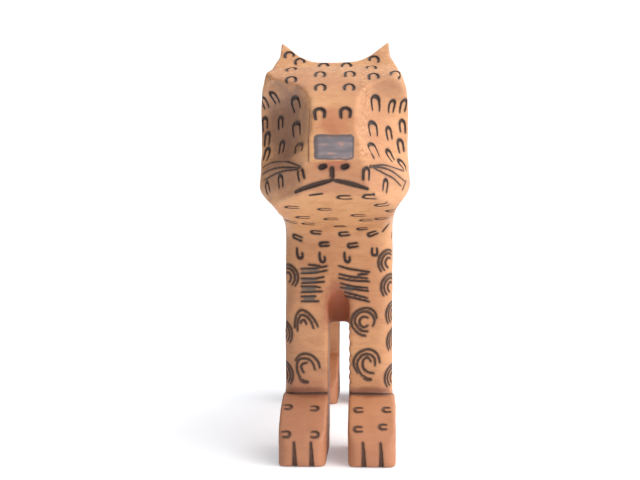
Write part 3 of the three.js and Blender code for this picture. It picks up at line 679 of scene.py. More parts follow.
# %% Spirals on legs and corners
SPIRALS = {
    (-14.7, 57.4): [
        [(-4.4, -2.1), (-4.2, 1.0), (-3.4, 3.9), (-1.6, 5.6), (0.8, 4.9), (3.1, 2.8), (4.9, 0.3),
         (5.7, -1.6)],
        [(-3.1, -3.4), (-3.1, 0), (-2.3, 2.6), (-1.0, 3.5), (0.8, 2.8), (2.6, 0.8), (3.9, -2.3)],
        [(-1.7, -0.1), (-1.3, 1.0), (-0.3, 1.3), (0.8, -0.5)],
    ],
    (-14.1, 38.0): [
        [(6.0, 0), (5.2, 2.6), (3.1, 4.9), (0, 6.1), (-2.8, 5.4), (-4.7, 3.1)],
        [(3.9, -0.8), (3.1, 1.6), (1.6, 3.4), (-0.8, 4.1), (-3.1, 3.4), (-4.0, 1.0), (-3.6, -2.1),
         (-2.1, -5.2)],
        [(0.3, 2.1), (-1.6, 1.6), (-2.1, 0), (-1.0, -2.1)],
    ],
    (10.9, 58.3): [
        [(5.7, 1.3), (4.7, 4.1), (2.3, 5.6), (-0.8, 5.4), (-3.9, 3.6), (-5.3, 0.5), (-4.8, -2.6),
         (-2.6, -4.9)],
        [(3.9, -2.1), (4.7, 0.3), (3.6, 2.8), (1.3, 4.1), (-1.3, 3.9), (-3.5, 1.8), (-3.8, -0.5),
         (-2.3, -3.1)],
        [(1.8, 1.5), (0, 2.0), (-1.6, 0.8), (-1.6, -1.3), (0, -2.6), (1.8, -1.8)],
        [(-3.6, -4.2), (-1.4, -5.8), (0.8, -6.3)], [(-2.3, -3.1), (-0.6, -4.2), (1.8, -4.4)],
    ],
    (12.2, 39.9): [
        [(5.7, 0.5), (4.9, 3.6), (2.8, 5.7), (0, 6.2), (-3.1, 4.9), (-5.2, 2.6), (-5.7, -0.5), (-3.9, -4.1)],
        [(3.6, -0.8), (3.4, 2.1), (1.6, 3.9), (-0.8, 4.1), (-2.8, 2.8), (-4.1, 0.5), (-3.6, -2.6),
         (-1.6, -5.7)],
        [(1.8, 1.0), (0.5, 2.6), (-1.3, 1.8), (-1.8, -0.5), (-1.0, -2.6), (1.0, -3.8), (3.1, -4.1)],
    ],
}
for (x, z), lines in SPIRALS.items():
    for line in lines:
        trace("front", x, z, bent(line), 0, 0.46, 0.85, 0.6)
for x, z in ((-15.4, 32.2), (12.0, 33.4)):
    trace("front", x, z, bent([(-1.4, 1.2), (0, -0.1), (2.0, -0.4)]), 0, 0.75, 0.8, 0.5)
CORNERS = [(1, 5.8, 83.6), (1, 7.0, 73.0), (1, 9.4, 60.9), (1, 10.0, 49.2), (1, 8.8, 33.4)]
CORNERS += [(-1, 6.2, 77.2), (-1, 9.0, 52.4), (-1, 8.6, 34.4)]
for side, s0, z in CORNERS:
    for r, start, stop in ((5.6, 62, 222), (4.1, 58, 232), (2.2, 60, 250)):
        wrap(side, s0, z, ring(r, start, stop), 0.46, 0.85, 0.5)
print(len(strokes), "marks so far")

# %% [markdown]
# ## Paws
# Two wedge cuts part the three toes of a paw, widest at the sole. A dark crease runs where the leg
# meets the paw, and four hooks stand for fur.

# %% Paws: small hooks, toe cuts and the crease under the leg
PAW_HOOKS = [(-21.2, 22.6, -90), (-9.9, 22.2, -90), (-21.0, 13.2, -90), (-9.2, 13.2, -90)]
PAW_HOOKS += [(8.6, 21.8, 90), (20.6, 21.9, 90), (8.6, 15.2, 90), (19.0, 16.0, 90)]
for x, z, turn in PAW_HOOKS:
    stamp("front", x, z, arch(2.5, 3.0), turn, 0.55, 0.75, 0.5)
for x in (-17.4, -10.4, 11.0, 18.2):
    draw("front", [(x + 0.1, 0.7), (x, 6.0), (x - 0.3, 10.4)], 0.95, 0.8, 0.45, 1.0, True)
for side in (-1, 1):
    draw("front", [(side * 5.0, 26.9), (side * 22.8, 26.7)], 0.55, 0.6, 0.9)
    view = "left" if side > 0 else "right"
    draw(view, [(chest_y / MM + 1.5, 26.6), (leg_back_y / MM - 1.5, 26.6)], 0.4, 0.35, 0.8)
print(len(PAW_HOOKS), "hooks on the paws")

# %% [markdown]
# ## Flanks, back and rear
# The flanks have rows of stamps, each a little off its row, with nested rings at shoulder and thigh.
# A loop with small random shifts gives the even, never equal look of stamping by hand. These sides
# are imagined, in the manner of the front.

# %% Flanks, back and rear
def nest(view, u, v, radii, start, stop):
    """Several rings inside each other, all open on the same side."""
    for r in radii:
        stamp(view, u, v, ring(r, start, stop), 0, 0.4, 0.9, 0.6)


body_mm = (chest_y / MM, rump_y / MM)
rear_mm = rear_paw_y / MM
for view in ("left", "right"):
    mirror = 1 if view == "left" else -1
    for row, z in enumerate((103.5, 95.5, 87.5, 79.5, 71.5)):
        for y in np.arange(body_mm[0] + 34 + 5 * (row % 2), body_mm[1] - 42, 10.0):
            if not (row >= 3 and y < body_mm[0] + 30):
                place = (y + iron.uniform(-1, 1), z + iron.uniform(-1.5, 1.5))
                stamp(view, *place, arch(), iron.uniform(-16, 16))
    nest(view, body_mm[0] + 20, 80, (7.5, 5.4, 3.3, 1.5), -70, 200)
    nest(view, body_mm[0] + 21, 98, (6.2, 4.2, 2.2), -60, 200)
    nest(view, body_mm[1] - 24, 84, (11, 8.8, 6.6, 4.4, 2.2), -60, 215)
    nest(view, body_mm[1] - 26, 55, (6.5, 4.6, 2.6), -40, 220)
    for z in (52, 38):
        nest(view, body_mm[0] + 15, z + 3, (4.6, 3.0, 1.5), -40, 220)
    for dy, z in ((11, 38), (20, 14), (10, 10), (30, 12)):
        stamp(view, rear_mm + dy + (22 if z > 30 else 0), z, arch(3.6, 4.2), 0)
    for dy, z in ((10, 9), (20, 13), (32, 9), (38, 20)):
        stamp(view, paw_y / MM + dy, z, arch(3.6, 4.2), 0)
    for dy, z in ((49, 153), (59, 150), (69, 142), (46, 142), (56, 139), (66, 131)):
        stamp(view, nose_mm + dy, z, arch(3.9, 5.0), -4 * mirror)
    for dy, z in ((45, 130), (54, 128), (63, 120), (43, 118), (53, 117), (47, 108), (73, 121)):
        stamp(view, nose_mm + dy, z, arch(3.9, 5.0), 4 * mirror)
for row, x in enumerate((-12, -4, 4, 12)):
    for y in np.arange(body_mm[0] + 36 + 5 * (row % 2), body_mm[1] - 14, 10.0):
        stamp("above", x + iron.uniform(-0.8, 0.8), y + iron.uniform(-1, 1), arch(), iron.uniform(-12, 12))
for x, dy in ((-10, 52), (0, 50), (10, 52), (-14, 61), (-5, 60), (5, 60), (14, 61)):
    stamp("above", x, nose_mm + dy, arch(), 0)
NAPE = [(-14, 158), (-5, 160), (5, 160), (14, 158), (-18, 148), (-9, 150), (0, 150), (9, 150), (18, 148)]
NAPE += [(-17, 136), (-8, 139), (0, 138), (8, 139), (17, 136), (-12, 128), (-4, 127), (4, 127), (12, 128)]
RUMP = [(-15, 92), (15, 92), (-12, 102), (12, 102), (-15, 80), (-5, 79), (5, 79), (15, 80)]
for x, z in NAPE + RUMP:
    stamp("back", x, z, arch(), 0)
REAR_LEGS = [(-18, 55), (-9, 57), (9, 57), (18, 55)]
REAR_LEGS += [(side * 14, z) for z in (42, 28, 14) for side in (-1, 1)]
for x, z in REAR_LEGS:
    stamp("back", x, z, arch(3.8, 4.4), 0)
print(len(strokes), "marks in all")

# %% [markdown]
# ## Cutting the grooves
# The fast Boolean solver needs tools that don't cross each other, and spirals lie close together. So
# the strokes are sorted into passes in which all keep clear, and each pass is one Boolean.

# %% Cut the marks
def tube(stroke, sides=8):
    """A closed tube along a stroke, as points and faces, with a blunt point at both ends."""
    path, normals, radii = stroke["points"], stroke["normals"], stroke["radii"]
    tangents = np.gradient(path, axis=0)
    tangents /= np.linalg.norm(tangents, axis=1)[:, None]
    first = path[0] - tangents[0] * radii[0] * 0.8
    last = path[-1] + tangents[-1] * radii[-1] * 0.8
    path = np.vstack([first, path, last])
    radii = np.concatenate([[radii[0] * 0.4], radii, [radii[-1] * 0.4]])
    normals = np.vstack([normals[0], normals, normals[-1]])
    tangents = np.vstack([tangents[0], tangents, tangents[-1]])
    side = np.cross(tangents, normals)
    side /= np.linalg.norm(side, axis=1)[:, None]
    up = np.cross(side, tangents)
    points = []
    for i in range(len(path)):
        for k in range(sides):
            a = 2 * math.pi * (k + 0.5) / sides
            points.append(path[i] + radii[i] * (math.cos(a) * side[i] + math.sin(a) * up[i]))
    faces = []
    for i in range(len(path) - 1):
        for k in range(sides):
            a, b = i * sides + k, i * sides + (k + 1) % sides
            faces.append((a, a + sides, b + sides, b))
    faces.append(tuple(range(sides)))
    faces.append(tuple(reversed(range((len(path) - 1) * sides, len(path) * sides))))
    return points, faces


def in_passes(items):
    """Sorts strokes into passes so that no two in a pass touch each other."""
    passes = []
    for item in items:
        for group in passes:
            if all(clear_of(item, other) for other in group):
                group.append(item)
                break
        else:
            passes.append([item])
    return passes


FAR_APART = 40 * MM  # strokes whose middles are this far apart don't meet
CLEARANCE = 0.8 * MM


def clear_of(one, other):
    """Whether two strokes keep clear of each other; the quick test comes first."""
    if np.linalg.norm(one["points"].mean(0) - other["points"].mean(0)) > FAR_APART:
        return True
    gaps = np.linalg.norm(one["points"][:, None] - other["points"][None], axis=2)
    return gaps.min() > one["radii"].max() + other["radii"].max() + CLEARANCE


def burn_in(thing, items):
    """Cuts all strokes into a piece and gives the number of passes."""
    passes = in_passes(items)
    for group in passes:
        tool_points, tool_faces = [], []
        for stroke in group:
            more_points, more_faces = tube(stroke)
            first = len(tool_points)
            tool_points += more_points
            tool_faces += [tuple(first + i for i in face) for face in more_faces]
        cut(thing, mesh_from("irons", tool_points, tool_faces))
    return len(passes)


print(burn_in(block, strokes), "passes,", len(block.data.vertices), "points")

# %% [markdown]
# ## Saw the block back into its pieces
# Head and legs are parts of their own, glued to the trunk on dowels. The block is sawn at the real
# joint faces, with a kerf thinner than a hair, and the bores are drilled again. The seams stay almost
# invisible, as on the real figure, yet each piece can be taken away to show its dowel.

# %% Saw and drill
KERF = 0.02 * MM


def prism(side_outline, x0, x1, name="saw"):
    """A cutter with a side view given as (y, z) points, between two x values."""
    low, high = min(x0, x1), max(x0, x1)
    count = len(side_outline)
    points = [(low, y, z) for y, z in side_outline] + [(high, y, z) for y, z in side_outline]
    faces = [tuple(reversed(range(count))), tuple(range(count, 2 * count))]
    faces += [(i, (i + 1) % count, (i + 1) % count + count, i + count) for i in range(count)]
    return mesh_from(name, points, faces)


def cylinder(centre, axis, radius, length, sides=40, name="drill"):
    spin = Vector((0, 0, 1)).rotation_difference(axis).to_matrix()
    points, faces = [], []
    for end in (-length / 2, length / 2):
        for k in range(sides):
            a = 2 * math.pi * k / sides
            points.append(centre + spin @ Vector((radius * math.cos(a), radius * math.sin(a), end)))
    faces = [(k, (k + 1) % sides, (k + 1) % sides + sides, k + sides) for k in range(sides)]
    faces += [tuple(reversed(range(sides))), tuple(range(sides, 2 * sides))]
    return mesh_from(name, points, faces)


def neck_block(side):
    """Everything on the head's side (1) or the trunk's side (-1) of the neck joint."""
    spin = Matrix.Rotation(neck_tilt, 3, "X")
    points = []
    for x in (-200 * MM, 200 * MM):
        for y in (-200 * MM, 200 * MM):
            for z in (side * KERF / 2, side * 300 * MM):
                points.append(throat + spin @ Vector((x, y, z)))
    order = [(0, 1, 3, 2), (4, 6, 7, 5), (0, 4, 5, 1), (2, 3, 7, 6), (0, 2, 6, 4), (1, 5, 7, 3)]
    if side < 0:
        order = [tuple(reversed(face)) for face in order]
    return mesh_from("neck_saw", points, order)


inner = 4.35 * MM  # from the middle to the inner side of a leg
front_saw_y = leg_back_y + GAP / 2
thigh_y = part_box("rear_left_leg")[1].y - 42 * MM - GAP / 2
rear_saw_y = rear_paw_y - 8 * MM
belly_z = 50 * MM  # under the belly
below = -5 * MM
WIDE = 200 * MM  # past the figure on every side
FRONT = [(-WIDE, below), (front_saw_y, below), (front_saw_y, joint_z), (-WIDE, joint_z)]
REAR = [(rear_saw_y, below), (WIDE, below), (WIDE, joint_z), (thigh_y, joint_z)]
REAR += [(thigh_y, belly_z), (rear_saw_y, belly_z)]


def shrunk(side_outline, by):
    """The outline pulled in by a hair along y and z, for the piece that fits inside it."""
    middle_y = (min(p[0] for p in side_outline) + max(p[0] for p in side_outline)) / 2
    return [(y - math.copysign(by, y - middle_y), z - (by if z > 0 else 0)) for y, z in side_outline]


def copy_of(thing, name):
    return new_object(name, thing.data.copy())


carved = {}
for node, side, outline in (
    ("front_left_leg", 1, FRONT), ("front_right_leg", -1, FRONT),
    ("rear_left_leg", 1, REAR), ("rear_right_leg", -1, REAR),
):
    piece = copy_of(block, "carved_" + node)
    cut(piece, prism(shrunk(outline, KERF), side * (inner + KERF), side * WIDE / 2), "INTERSECT")
    carved[node] = piece
carved["head"] = cut(copy_of(block, "carved_head"), neck_block(1), "INTERSECT")
carved["trunk"] = cut(copy_of(block, "carved_trunk"), neck_block(-1), "INTERSECT")
for side in (-1, 1):
    for outline in (FRONT, REAR):
        cut(carved["trunk"], prism(outline, side * inner, side * WIDE / 2))
drop(block)

BORE_ROOM = 1.2 * MM  # a bore is longer than its dowel, to leave room for glue
for end in ("front", "rear"):
    for hand in ("left", "right"):
        low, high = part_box(f"{end}_{hand}_leg_dowel")
        middle = (Vector(low) + Vector(high)) / 2
        for node in (f"{end}_{hand}_leg", "trunk"):
            length = high.z - low.z + BORE_ROOM
            drill = cylinder(middle, Vector((0, 0, 1)), (high.x - low.x) / 2 + GAP, length)
            cut(carved[node], drill)
NECK_DOWEL = 34 * MM
low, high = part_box("neck_dowel")
neck_middle = (Vector(low) + Vector(high)) / 2
for node in ("head", "trunk"):
    cut(carved[node], cylinder(neck_middle, neck_axis, (high.x - low.x) / 2 + GAP, NECK_DOWEL + BORE_ROOM))
for node, piece in carved.items():
    print(node, len(piece.data.vertices), "points")

# %% [markdown]
# ## Tail
# The tail is a piece of its own, which plugs into the rump and turns there. It is remeshed finer than
# the body, since it is thin. Bands and small stamps take turns along its curve.

# %% Tail, with burnt bands and rows of stamps
turn_joint = next(j for j in frame["record"]["behaviour"]["joints"] if j["name"] == "tail_turn")
seat = Vector(turn_joint["pos_m"])
tail_axis = Vector(turn_joint["axis"]).normalized()
tail_up = Vector((1, 0, 0)).cross(tail_axis)
tail = new_object("carved_tail", frame["nodes"]["tail"].data.copy())
tail.data.materials.clear()
apply_modifier(tail, "REMESH", mode="VOXEL", voxel_size=0.4 * MM)
ends = np.empty(len(tail.data.edges) * 2, np.int64)
tail.data.edges.foreach_get("vertices", ends)
points = points_of(tail)
away = (points - np.array(seat)) @ np.array(tail_axis)
points = relaxed(points, ends.reshape(-1, 2), 4, smooth_step(away, 0.8 * MM, 3 * MM))
outward = np.empty(len(points) * 3)
tail.data.vertices.foreach_get("normal", outward)
wave = knife_waves(points, rng, 12, 6 * MM, 14 * MM) * smooth_step(away, 1 * MM, 4 * MM)
points += 0.09 * MM * wave[:, None] * outward.reshape(-1, 3)
set_points(tail, points)
tail_tree = BVHTree.FromPolygons(points, [p.vertices for p in tail.data.polygons])
# The middle line of the tail: how far out of the rump, and how far up, in mm.
BENDS = [(5, 0), (10, 0.2), (17, 1.5), (21.6, 4.4), (25, 8), (27.6, 13.4), (29, 19), (29.1, 25), (28.5, 31)]
BENDS += [(27.2, 36.6), (26.1, 42), (26.1, 47.2), (27.4, 52)]
bends = [seat + tail_axis * (a * MM) + tail_up * (b * MM) for a, b in BENDS]
BAND_STEPS = 36
body_strokes, strokes = strokes, []
for i in range(1, len(bends) - 1):
    forward = (bends[i + 1] - bends[i - 1]).normalized()
    side = Vector((1, 0, 0))
    up = side.cross(forward)
    if i % 2:  # a band, which stops just short of its own start
        groups = [[(2 * math.pi * k / BAND_STEPS, 0.0) for k in range(BAND_STEPS - 1)]]
    else:  # four stamps round the tail; x turns into an angle
        quarters = [math.pi * (k / 2 + 0.25) for k in range(4)]
        groups = [[(middle + x * 0.2, y) for x, y in arch(3.0, 3.4)] for middle in quarters]
    for group in groups:
        path, path_normals = [], []
        for angle, shift in group:
            out = side * math.cos(angle) + up * math.sin(angle)
            start = bends[i] + forward * (shift * MM) + out * 12 * MM
            hit, normal, _, _ = tail_tree.ray_cast(start, -out, 14 * MM)
            if hit is not None:
                path.append(hit)
                path_normals.append(normal)
        if len(path) > 3:
            burn(path, path_normals, 0.4, 0.6 if i % 2 == 0 else 0.9)
tail_strokes = strokes
burn_in(tail, tail_strokes)
carved["tail"] = tail
print(len(tail_strokes), "burns on the tail,", len(tail.data.vertices), "points")

# %% [markdown]
# ## Dowels and peg
# The pins are turned from plain pale wood. A plain cylinder would do, but flutes let the glue and
# the air out of the bore, and chamfers help the pin to start. They show only when a joint is opened,
# such as when the tail is pulled out.

# %% Dowels and peg, with chamfered ends and glue flutes
def dowel(node, axis, length):
    """A turned pin: its flutes let air and glue out of the bore, and the chamfer helps it to start."""
    low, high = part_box(node)
    middle = (Vector(low) + Vector(high)) / 2
    radius = (high.x - low.x) / 2
    chamfer = 0.13 * radius
    spin = Vector((0, 0, 1)).rotation_difference(axis).to_matrix()
    sides = 72
    levels = [(-length / 2, radius - chamfer), (-length / 2 + chamfer, radius)]
    levels += [(-length / 2 + 4 * chamfer, radius), (length / 2 - 4 * chamfer, radius)]
    levels += [(length / 2 - chamfer, radius), (length / 2, radius - chamfer)]
    points, faces = [], []
    for at, r in levels:
        for k in range(sides):
            a = 2 * math.pi * k / sides
            flute = 0.035 * radius * max(0.0, math.cos(12 * a)) if r == radius else 0.0
            points.append(middle + spin @ Vector(((r - flute) * math.cos(a), (r - flute) * math.sin(a), at)))
    for i in range(len(levels) - 1):
        for k in range(sides):
            a, b = i * sides + k, i * sides + (k + 1) % sides
            faces.append((a, b, b + sides, a + sides))
    last = (len(levels) - 1) * sides
    faces += [tuple(reversed(range(sides))), tuple(range(last, last + sides))]
    return mesh_from("turned_" + node, points, faces)


TAIL_PEG = 23 * MM
pins = {}
for end in ("front", "rear"):
    for hand in ("left", "right"):
        node = f"{end}_{hand}_leg_dowel"
        pins[node] = dowel(node, Vector((0, 0, 1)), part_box(node)[1].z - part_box(node)[0].z)
pins["neck_dowel"] = dowel("neck_dowel", neck_axis, NECK_DOWEL)
pins["tail_peg"] = dowel("tail_peg", tail_axis, TAIL_PEG)
print(len(pins), "pins")

# %% [markdown]
# ## Wood, smoke and nose paint
# The wood is a light reddish one with fine straight grain. Its layers lie flat along the body, so
# that the front shows level lines and the flanks long streaks. Smoke and charred grooves follow a
# value stored in each point: the distance to the edge of the nearest burnt line.

# %% Store the distance to the nearest burn
smears = KDTree(len(smear_points))
for i, place in enumerate(smear_points):
    smears.insert(place, i)
smears.balance()
REACH = 6.0  # mm; further from a burn the wood shows no smoke


def store_burn(piece, items):
    """Stores in each point the distance to the nearest burn, its blackness, and how far a smear is."""
    tree = KDTree(sum(len(s["points"]) * 4 for s in items))
    edges, chars = [], []
    for stroke in items:
        for i in range(len(stroke["points"]) - 1):
            for share in (0, 0.25, 0.5, 0.75):
                place = stroke["points"][i] * (1 - share) + stroke["points"][i + 1] * share
                tree.insert(place, len(edges))
                edges.append(stroke["radii"][i] * (1 - share) + stroke["radii"][i + 1] * share)
                chars.append(stroke["char"])
    tree.balance()
    found = np.full((len(piece.data.vertices), 2), (REACH, 0.0))
    for i, vertex in enumerate(piece.data.vertices):
        _, index, distance = tree.find(vertex.co)
        if distance < REACH * MM:
            found[i] = ((distance - edges[index]) / MM, chars[index])
    smeared = np.array([smears.find(vertex.co)[2] / MM for vertex in piece.data.vertices])
    found = np.column_stack([found, smeared])
    for column, name in enumerate(("burn_edge", "burn_char", "smear")):
        attribute = piece.data.attributes.new(name, "FLOAT", "POINT")
        attribute.data.foreach_set("value", found[:, column].astype(np.float32))


for node, piece in carved.items():
    store_burn(piece, tail_strokes if node == "tail" else body_strokes)
    piece.data.shade_smooth()
    piece.data.set_sharp_from_angle(angle=math.radians(38))
    print(node, "stored")

# %% [markdown]
# ## Wood grain, painted shade, smoke and char
# One material covers all carved pieces. Its noise is in Object coordinates, and all pieces share one
# origin, so the grain runs on across a joint. Soft patches change the colour. Most are painted shade:
# those on the figure's right stand in for shade that the lamp alone doesn't give, and others darken
# the top of the left cheek hollow, the underside of the nose, the gap between the front legs and the
# creases over the paws. A few make the bridge, the muzzle and the left ear redder or darker. The legs
# are also coloured darker and redder towards the bottom. Smoke and char then follow the stored
# distance to the burn.

# %% Wood
chest_mm = chest_y / MM
throat_mm = throat_z / MM
TINTS = [  # middle and half size of a soft patch in mm, its colour, and how strong it is
    # painted shade: the figure's right cheek hollow and the side of the muzzle below it, turned away from the
    # light
    ((-22, nose_mm + 15.5, throat_mm + 43), (14, 40, 19), (0.16, 0.075, 0.05), 0.75),
    ((-23, nose_mm + 8.5, throat_mm + 23), (14, 40, 13), (0.20, 0.085, 0.055), 0.55),
    # painted shade: the figure's right front leg, paw and chest, turned away from the light
    ((-26, chest_mm, 26), (26, 50, 50), (0.27, 0.11, 0.06), 0.42),
    ((-24, chest_mm, 85), (14, 40, 30), (0.27, 0.12, 0.065), 0.22),
    ((25, nose_mm + 23.5, throat_mm + 75), (6, 30, 7), (0.30, 0.13, 0.085), 0.5),
    # painted shade: the top of the hollow on the figure's left cheek, under the brow
    ((21, nose_mm + 15.5, throat_mm + 57), (9, 30, 6), (0.34, 0.15, 0.07), 0.5),
    ((0, nose_mm + 9.5, throat_mm + 39.5), (9.5, 20, 7.5), (0.38, 0.115, 0.045), 0.7),
    # painted shade: under the nose, where the nose block overhangs the lip
    ((0, nose_mm + 3.5, throat_mm + 23.5), (8.5, 10, 2.2), (0.40, 0.10, 0.045), 0.8),
    ((0, nose_mm + 5.5, throat_mm + 18.5), (18.5, 20, 7), (0.36, 0.14, 0.07), 0.5),
    # painted shade: between the front legs, under the chest
    ((0, chest_mm + 4, 64), (7.2, 30, 14.5), (0.27, 0.062, 0.026), 0.85),
]
# painted shade round the crease over each front paw, where the leg turns in to meet the paw
for side in (1, -1):  # the crease over each front paw
    TINTS.append(((side * 14.5, chest_mm, 27.5), (11.5, 6, 2.8), (0.17, 0.045, 0.022), 0.75))


def wood_material(name, light, dark):
    material, add = new_material(name)
    place = add("ShaderNodeTexCoord").outputs["Object"]
    drift = add("ShaderNodeTexNoise", {"Vector": place, "Scale": 22.0, "Detail": 2.0})
    stretched = add("ShaderNodeMapping", {"Vector": place, "Scale": (0.3, 0.07, 1.0)}).outputs[0]
    layers = add("ShaderNodeTexNoise", {"Vector": stretched, "Scale": 420.0, "Detail": 4.0, "Roughness": 0.6})
    fibre = add("ShaderNodeTexNoise", {"Vector": stretched, "Scale": 1600.0, "Detail": 4.0})
    tone = mixed(add, ramped(add, layers.outputs["Fac"], 0.42, 0.66, 0.0, 0.38), light, dark)
    tone = mixed(add, ramped(add, drift.outputs["Fac"], 0.38, 0.68, 0.0, 0.55), tone, dark)
    tone = mixed(add, ramped(add, fibre.outputs["Fac"], 0.5, 0.75, 0.0, 0.25), tone, (0.3, 0.12, 0.05, 1))
    spots = add("ShaderNodeSeparateXYZ", {"Vector": place})
    x, y, z = (spots.outputs[i] for i in range(3))
    # Below about 50 mm the wood is coloured darker and redder towards the bottom, with a ragged upper edge.
    blurred_z = math_node(add, "ADD", z, ramped(add, drift.outputs["Fac"], 0.3, 0.7, -10 * MM, 10 * MM))
    low = ramped(add, blurred_z, 50 * MM, 12 * MM)
    tone = mixed(add, math_node(add, "MULTIPLY", low, 0.75), tone, (0.40, 0.15, 0.075, 1))
    # Noise that roughens the edges of the soft patches, most of which are painted shade.
    patch_edge_noise = add("ShaderNodeTexNoise", {"Vector": place, "Scale": 130.0, "Detail": 4.0, "Roughness": 0.65})
    for centre, size, colour, most in TINTS:
        middle, half = Vector(centre) * MM, Vector(size) * MM
        shift = add("ShaderNodeVectorMath", {0: place, 1: middle}, operation="SUBTRACT")
        scaled = add("ShaderNodeVectorMath", {0: shift.outputs[0], 1: half}, operation="DIVIDE")
        far = add("ShaderNodeVectorMath", {0: scaled.outputs[0]}, operation="LENGTH").outputs["Value"]
        far = math_node(add, "ADD", far, ramped(add, patch_edge_noise.outputs["Fac"], 0.2, 0.8, 0.22, -0.22))
        share = math_node(add, "MULTIPLY", ramped(add, far, 1.15, 0.45), most)
        tone = mixed(add, share, tone, (*colour, 1))

    edge = add("ShaderNodeAttribute", attribute_name="burn_edge").outputs["Fac"]
    char = add("ShaderNodeAttribute", attribute_name="burn_char").outputs["Fac"]
    ragged = add("ShaderNodeTexNoise", {"Vector": place, "Scale": 900.0, "Detail": 2.0}).outputs["Fac"]
    edge = math_node(add, "ADD", edge, ramped(add, ragged, 0.0, 1.0, -0.12, 0.12))
    smoke = math_node(add, "MULTIPLY", ramped(add, edge, 1.1, 0.0, 0.0, 0.5), char)
    black = math_node(add, "MULTIPLY", ramped(add, edge, 0.32, 0.0, 0.0, 0.94), char)
    tone = mixed(add, smoke, tone, (0.16, 0.065, 0.03, 1))
    tone = mixed(add, black, tone, (0.028, 0.014, 0.010, 1))

    smear = add("ShaderNodeAttribute", attribute_name="smear").outputs["Fac"]
    streaks = ramped(add, layers.outputs["Fac"], 0.3, 0.7, 0.45, 0.85)
    smear = math_node(add, "MULTIPLY", ramped(add, smear, 1.6, 0.7), streaks)
    tone = mixed(add, smear, tone, (0.075, 0.066, 0.058, 1))
    return material, add, tone, place, (x, y, z), fibre.outputs["Fac"], black


def finish_wood(add, tone, height, rough):
    bump = add("ShaderNodeBump", {"Height": height, "Strength": 0.35, "Distance": 0.0004})
    shader = add(
        "ShaderNodeBsdfPrincipled",
        {"Base Color": tone, "Roughness": rough, "Normal": bump.outputs["Normal"]},
    )
    add("ShaderNodeOutputMaterial", {"Surface": shader.outputs["BSDF"]})

# %% [markdown]
# ## Nose paint and rasp marks
# The nose is a rubbed grey rectangle with round corners, darker at its rim, with bare wood showing
# through. Its outline is worked out from the distance to a rounded box. The forehead and the left edge
# of the bridge were left from the rasp: pale torn fibres and dark gaps, in colour and bump.

# %% Nose paint and rasp marks
LIGHT = (0.60, 0.30, 0.135, 1)
DARK = (0.40, 0.155, 0.065, 1)
carved_wood, add, tone, place, (x, y, z), fibre, black = wood_material("carved_wood", LIGHT, DARK)
wobble = add("ShaderNodeTexNoise", {"Vector": place, "Scale": 260.0, "Detail": 2.0}).outputs["Fac"]
wobble = ramped(add, wobble, 0.0, 1.0, -0.4 * MM, 0.4 * MM)
sideways = math_node(add, "ABSOLUTE", math_node(add, "ADD", x, wobble))
upright = math_node(add, "ADD", z, -(throat_z + 30.4 * MM))
upright = math_node(add, "ABSOLUTE", math_node(add, "ADD", upright, wobble))
over_x = math_node(add, "MAXIMUM", math_node(add, "ADD", sideways, -6.0 * MM), 0.0)
over_z = math_node(add, "MAXIMUM", math_node(add, "ADD", upright, -3.1 * MM), 0.0)
over_x, over_z = (math_node(add, "MULTIPLY", value, value) for value in (over_x, over_z))
rounded = math_node(add, "SQRT", math_node(add, "ADD", over_x, over_z))
inside = ramped(add, rounded, 1.9 * MM, 1.4 * MM)
inside = math_node(add, "MULTIPLY", inside, ramped(add, y, nose_y + 12 * MM, nose_y + 10 * MM))
wiped = add("ShaderNodeMapping", {"Vector": place, "Scale": (0.25, 1.0, 1.3)}).outputs[0]
worn = add("ShaderNodeTexNoise", {"Vector": wiped, "Scale": 420.0, "Detail": 4.0}).outputs["Fac"]
paint = mixed(add, ramped(add, worn, 0.35, 0.65), (0.125, 0.115, 0.13, 1), (0.20, 0.17, 0.18, 1))
pink = math_node(add, "MULTIPLY", ramped(add, worn, 0.5, 0.62), ramped(add, wobble, -0.1 * MM, 0.1 * MM))
paint = mixed(add, math_node(add, "MULTIPLY", pink, 0.7), paint, (0.42, 0.21, 0.16, 1))
left_rim = ramped(add, x, -5.2 * MM, -6.6 * MM)
top_rim = ramped(add, z, throat_z + 33.5 * MM, throat_z + 34.7 * MM)
border = math_node(add, "MAXIMUM", left_rim, top_rim)
border = math_node(add, "MAXIMUM", border, ramped(add, rounded, 0.6 * MM, 1.5 * MM))
paint = mixed(add, math_node(add, "MULTIPLY", border, 0.75), paint, (0.05, 0.042, 0.048, 1))
tone = mixed(add, math_node(add, "MULTIPLY", inside, 0.95), tone, paint)

# The rasp left short cross scratches on the forehead and along the left edge of the bridge.
scratches = {"Vector": place, "Scale": 900.0, "Detail": 2.0, "Roughness": 0.5}
rasp = add("ShaderNodeTexNoise", scratches).outputs["Fac"]
on_brow = ramped(add, z, throat_z + 57 * MM, throat_z + 63 * MM)
brow = math_node(add, "MULTIPLY", on_brow, ramped(add, y, nose_y + 48.5 * MM, nose_y + 38.5 * MM))
rim = math_node(add, "ABSOLUTE", math_node(add, "ADD", x, -11.8 * MM))
in_front = ramped(add, y, nose_y + 38.5 * MM, nose_y + 33.5 * MM)
rim = math_node(add, "MULTIPLY", ramped(add, rim, 2.6 * MM, 1.4 * MM), in_front)
rim = math_node(add, "MULTIPLY", rim, ramped(add, z, throat_z + 24.5 * MM, throat_z + 28.5 * MM))
rasped = math_node(add, "MAXIMUM", math_node(add, "MULTIPLY", brow, 0.7), rim)
rasped = math_node(add, "MULTIPLY", rasped, math_node(add, "SUBTRACT", 1.0, black))
chips = math_node(add, "MULTIPLY", ramped(add, rasp, 0.55, 0.66), rasped)
tone = mixed(add, math_node(add, "MULTIPLY", chips, 0.5), tone, (0.80, 0.50, 0.27, 1))
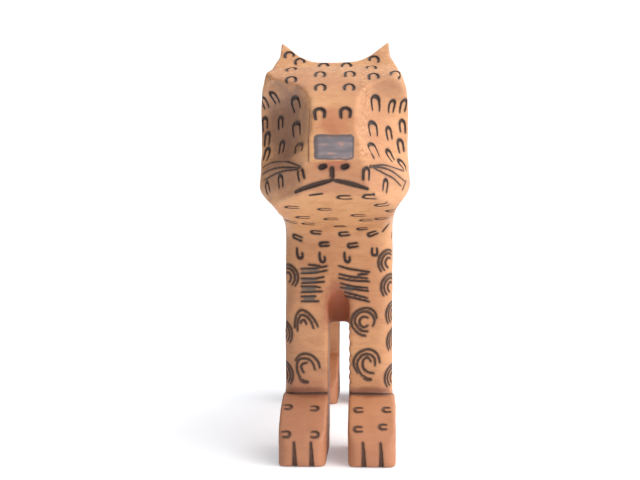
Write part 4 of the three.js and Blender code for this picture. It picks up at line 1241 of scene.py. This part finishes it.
gaps = math_node(add, "MULTIPLY", ramped(add, rasp, 0.44, 0.34), rasped)
tone = mixed(add, math_node(add, "MULTIPLY", gaps, 0.55), tone, (0.33, 0.10, 0.04, 1))
pits = add("ShaderNodeTexNoise", {"Vector": place, "Scale": 420.0, "Detail": 3.0}).outputs["Fac"]
height = math_node(add, "ADD", math_node(add, "MULTIPLY", fibre, 0.6), math_node(add, "MULTIPLY", pits, 0.5))
rough_rasp = math_node(add, "MULTIPLY", math_node(add, "MULTIPLY", rasp, rasped), 1.5)
height = math_node(add, "ADD", height, rough_rasp)
finish_wood(add, tone, height, ramped(add, pits, 0.3, 0.7, 0.5, 0.66))

for node, piece in carved.items():
    piece.data.materials.clear()
    piece.data.materials.append(carved_wood)
print("carved wood:", len(carved_wood.node_tree.nodes), "nodes")

# %% [markdown]
# ## Dowel wood
# The pins have long straight grain, so the noise is stretched upwards. That is right for the four
# upright pins. The neck dowel and the peg lean, and take the same grain for simplicity.

# %% Dowel wood
dowel_wood, add = new_material("dowel_wood")
place = add("ShaderNodeTexCoord").outputs["Object"]
long_grain = add("ShaderNodeMapping", {"Vector": place, "Scale": (1.0, 1.0, 0.08)}).outputs[0]
grain = add("ShaderNodeTexNoise", {"Vector": long_grain, "Scale": 1400.0, "Detail": 4.0}).outputs["Fac"]
tone = mixed(add, ramped(add, grain, 0.35, 0.7), (0.66, 0.47, 0.27, 1), (0.52, 0.33, 0.17, 1))
finish_wood(add, tone, grain, 0.68)
for pin in pins.values():
    pin.data.materials.append(dowel_wood)
    pin.data.shade_smooth()
    pin.data.set_sharp_from_angle(angle=math.radians(30))
print("dowel wood:", len(dowel_wood.node_tree.nodes), "nodes")

# %% [markdown]
# ## Pieces in place
# Each imported node is hidden, and the carved piece or pin that replaces it is hung on the body it
# rides on.

# %% Each piece takes its place
for node, pin in pins.items():
    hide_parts(node)
    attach(pin, "peg" if node == "tail_peg" else "carved_body")
for node, piece in carved.items():
    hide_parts(node)
    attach(piece, "tail" if node == "tail" else "carved_body")
